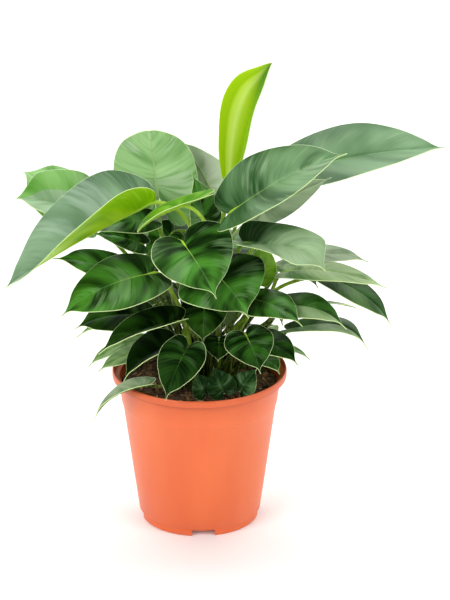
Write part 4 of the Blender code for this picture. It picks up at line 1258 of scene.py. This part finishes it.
def make_blade(leaf, thickness, looks):
    """A blade: a grid laid smoothly over the leaf's outline and thickened downwards. Its maps hold where
    each point lies on the leaf, for the veins and the pale margin, with the half turned to the front at
    the low end of the first map. Its looks are the materials of its upper side, underside and edge."""
    sides = [-x for x in reversed(BLADE_ACROSS[1:])] + list(BLADE_ACROSS)
    columns = len(sides) - 1
    rows = len(leaf.form) - 1
    bpy.ops.object.select_all(action="DESELECT")
    bpy.ops.mesh.primitive_grid_add(x_subdivisions=columns, y_subdivisions=rows * BLADE_ROWS_PER_STEP, size=2)
    blade = name_active(leaf.name + "_blade")
    points, face = midrib(leaf)
    run = points[3] - points[0]
    span = run.length
    near = 1 if face.cross(run).dot(VIEW_NEAR) > 0 else -1
    places = []
    for vert in blade.data.vertices:
        across = -sides[round((vert.co.x + 1) / 2 * columns)]
        row = (vert.co.y + 1) / 2 * rows
        margin, wide, vein = smooth_between(leaf.form, row)
        wide = drawn_out(leaf, max(wide, 0.0), (1 - margin) * span) if row else 0.0
        if leaf.form is QUILL and across * near > 0:
            wide *= 1 - PINCH_SHARE * math.exp(-((row - PINCH_ROW) / PINCH_REACH) ** 2)
        along = vein + (margin - vein) * abs(across)
        vert.co = blade_point(leaf, along, wide * across, relief(leaf, row, across * wide)) * MM
        side = leaf.width / 2 * wide
        edge = min((1 - abs(across)) * math.hypot(side, (margin - vein) * span), (1 - along) * span)
        places.append((-across * near, row / rows, side * abs(across), edge))
    veins = blade.data.uv_layers.new(name="Veins")
    spans = blade.data.uv_layers.new(name="Margin")
    for corner in blade.data.loops:
        across, along, rib, edge = places[corner.vertex_index]
        veins.data[corner.index].uv = (across / 2 + 0.5, along)
        spans.data[corner.index].uv = (rib / 100, edge / 100)
    merge_points(POLE_GAP)
    for look in looks:
        blade.data.materials.append(look)
    thick = blade.modifiers.new("Thickness", "SOLIDIFY")
    thick.thickness = thickness
    thick.offset = -1.0
    thick.material_offset = 1
    thick.material_offset_rim = 2
    apply_all(blade)
    bpy.ops.object.shade_smooth_by_angle(angle=BLADE_SMOOTH)
    return blade


def make_stalk(leaf, path, radii):
    """A petiole: a smooth bevelled curve from the mix to the blade, which runs on as the rib under the
    midrib and thins out towards the tip."""
    points, face = midrib(leaf)
    path = path[:-1]
    radii = list(radii)
    for t in RIB_STATIONS:
        up = square_to(face, curve_heading(points, t))
        thin = leaf.stalk * RIB_TAPER * (1 - t) ** 0.8
        path.append(curve_point(points, t) - up * (BLADE_THICKNESS + thin * 0.35 + 0.3))
        radii.append(thin)
    curve = bpy.data.curves.new(leaf.name + "_petiole", "CURVE")
    curve.dimensions = "3D"
    curve.bevel_depth = MM
    curve.bevel_resolution = PETIOLE_ROUNDNESS
    curve.resolution_u = PETIOLE_FINENESS
    curve.use_fill_caps = True
    spline = curve.splines.new("BEZIER")
    spline.bezier_points.add(len(path) - 1)
    for point, spot, radius in zip(spline.bezier_points, path, radii):
        point.co = spot * MM
        point.radius = radius
        point.handle_left_type = point.handle_right_type = "AUTO"
    stalk = bpy.data.objects.new(leaf.name + "_petiole", curve)
    bpy.context.collection.objects.link(stalk)
    select_only(stalk)
    bpy.ops.object.convert(target="MESH")
    merge_points(SEAM_GAP)
    turn_outwards()
    bpy.ops.object.shade_smooth_by_angle(angle=PETIOLE_SMOOTH)
    return bpy.context.object


# The soft lights: name, place and aim in metres, width and height in metres, and power in watts
LIGHTS = (
    ("overhead", (0.0, 1.35, 2.4), (0.0, 1.2, 0.0), (3.6, 2.8), 90.0),
    ("left", (-1.5, -1.7, 1.5), (0.0, 0.0, 0.22), (1.5, 1.5), 46.0),
    ("right", (1.9, -1.5, 1.4), (0.0, 0.0, 0.22), (1.5, 1.5), 38.0),
)

# The floor's side and how far it lies below the pot, and the width of the camera's film in millimetres
FLOOR_SIZE = 9.0
FLOOR_DROP = 0.0004
SENSOR_WIDTH = 36.0


def floor_material(glow):
    """A sheet of white acrylic, matt on top and lit from below, which keeps the floor's shadows soft."""
    made, node = new_material("Backdrop acrylic, white, lit from below")
    shader = node("BsdfPrincipled", {
        "Base Color": "#FBFBFA",
        "Roughness": 0.8,
        "Emission Color": "#FFFFFF",
        "Emission Strength": glow,
    })
    node("OutputMaterial", (shader,))
    return made


def white_room(strength):
    """The surround: a white wall behind the plant, and a dim room in front and overhead."""
    world = bpy.data.worlds.new("White wall, dim room")
    world.use_nodes = True
    node = partial(add_node, world.node_tree)
    way = node("SeparateXYZ", (node("TexCoord").outputs["Generated"],))
    back = node("MapRange", (way.outputs[1], -0.1, 0.4), **SMOOTH)
    low = node("MapRange", (way.outputs[2], 0.4, 0.8, 1.0, 0.0), **SMOOTH)
    wall = node("Math", (back, low), operation="MULTIPLY")
    tone = node("Mix", {0: wall, 6: "#3C3C3C", 7: "#FFFFFF"}, **COLOURS)
    surround = world.node_tree.nodes["Background"]
    world.node_tree.links.new(tone.outputs[2], surround.inputs["Color"])
    surround.inputs["Strength"].default_value = strength
    return world


class PHILODENDRON_OT_stage(bpy.types.Operator):
    """Set up the stage: pale floor, white surround, soft lights and the camera."""

    bl_idname = "philodendron.stage"
    bl_label = "Make the Stage"

    def execute(self, context):
        settings = context.scene.philodendron_stage
        bpy.ops.mesh.primitive_plane_add(size=FLOOR_SIZE, location=(0, 0, -FLOOR_DROP))
        floor = name_active("floor")
        floor.data.materials.append(floor_material(settings.glow))
        context.scene.world = white_room(settings.sky)
        context.scene.view_settings.view_transform = "Standard"
        for name, place, aim, size, power in LIGHTS:
            bpy.ops.object.light_add(type="AREA", location=place)
            lamp = name_active(name + "_light")
            lamp.data.shape = "RECTANGLE"
            lamp.data.size, lamp.data.size_y = size
            lamp.data.energy = power * settings.key
            lamp.rotation_euler = (Vector(aim) - Vector(place)).to_track_quat("-Z", "Y").to_euler()
        middle = VIEW_CENTRE * MM
        bpy.ops.object.camera_add(
            location=middle + VIEW_NEAR * settings.distance, rotation=(math.pi / 2 - VIEW_TILT, 0, 0)
        )
        camera = context.object
        camera.data.sensor_width = SENSOR_WIDTH
        camera.data.lens = SENSOR_WIDTH * settings.distance / (VIEW_SPAN * MM)
        camera.data.clip_end = 30.0
        context.scene.camera = camera
        return {"FINISHED"}


class PHILODENDRON_PT_sidebar(bpy.types.Panel):
    """The sidebar panel that lists the pieces and their settings."""

    bl_label = "Philodendron"
    bl_idname = "PHILODENDRON_PT_sidebar"
    bl_space_type = "VIEW_3D"
    bl_region_type = "UI"
    bl_category = "Philodendron"

    def draw(self, context):
        for group, operator in GROUPS:
            box = self.layout.box()
            settings = getattr(context.scene, "philodendron_" + group)
            for name in type(settings).__annotations__:
                box.prop(settings, name)
            box.operator(operator.bl_idname)


GROUPS = (
    ("pot", PHILODENDRON_OT_pot),
    ("mix", PHILODENDRON_OT_mix),
    ("leaves", PHILODENDRON_OT_leaves),
    ("stage", PHILODENDRON_OT_stage),
)
SETTINGS = {"pot": PotSettings, "mix": MixSettings, "leaves": LeafSettings, "stage": StageSettings}


def register():
    for name, settings in SETTINGS.items():
        bpy.utils.register_class(settings)
        setattr(bpy.types.Scene, "philodendron_" + name, bpy.props.PointerProperty(type=settings))
    for _, operator in GROUPS:
        bpy.utils.register_class(operator)
    bpy.utils.register_class(PHILODENDRON_PT_sidebar)


def unregister():
    bpy.utils.unregister_class(PHILODENDRON_PT_sidebar)
    for name, operator in GROUPS:
        bpy.utils.unregister_class(operator)
        delattr(bpy.types.Scene, "philodendron_" + name)
        bpy.utils.unregister_class(SETTINGS[name])


def main():
    """Make every piece and the stage."""
    register()
    bpy.ops.philodendron.pot()
    bpy.ops.philodendron.mix()
    bpy.ops.philodendron.leaves()
    bpy.ops.philodendron.stage()


if __name__ == "__main__":
    main()
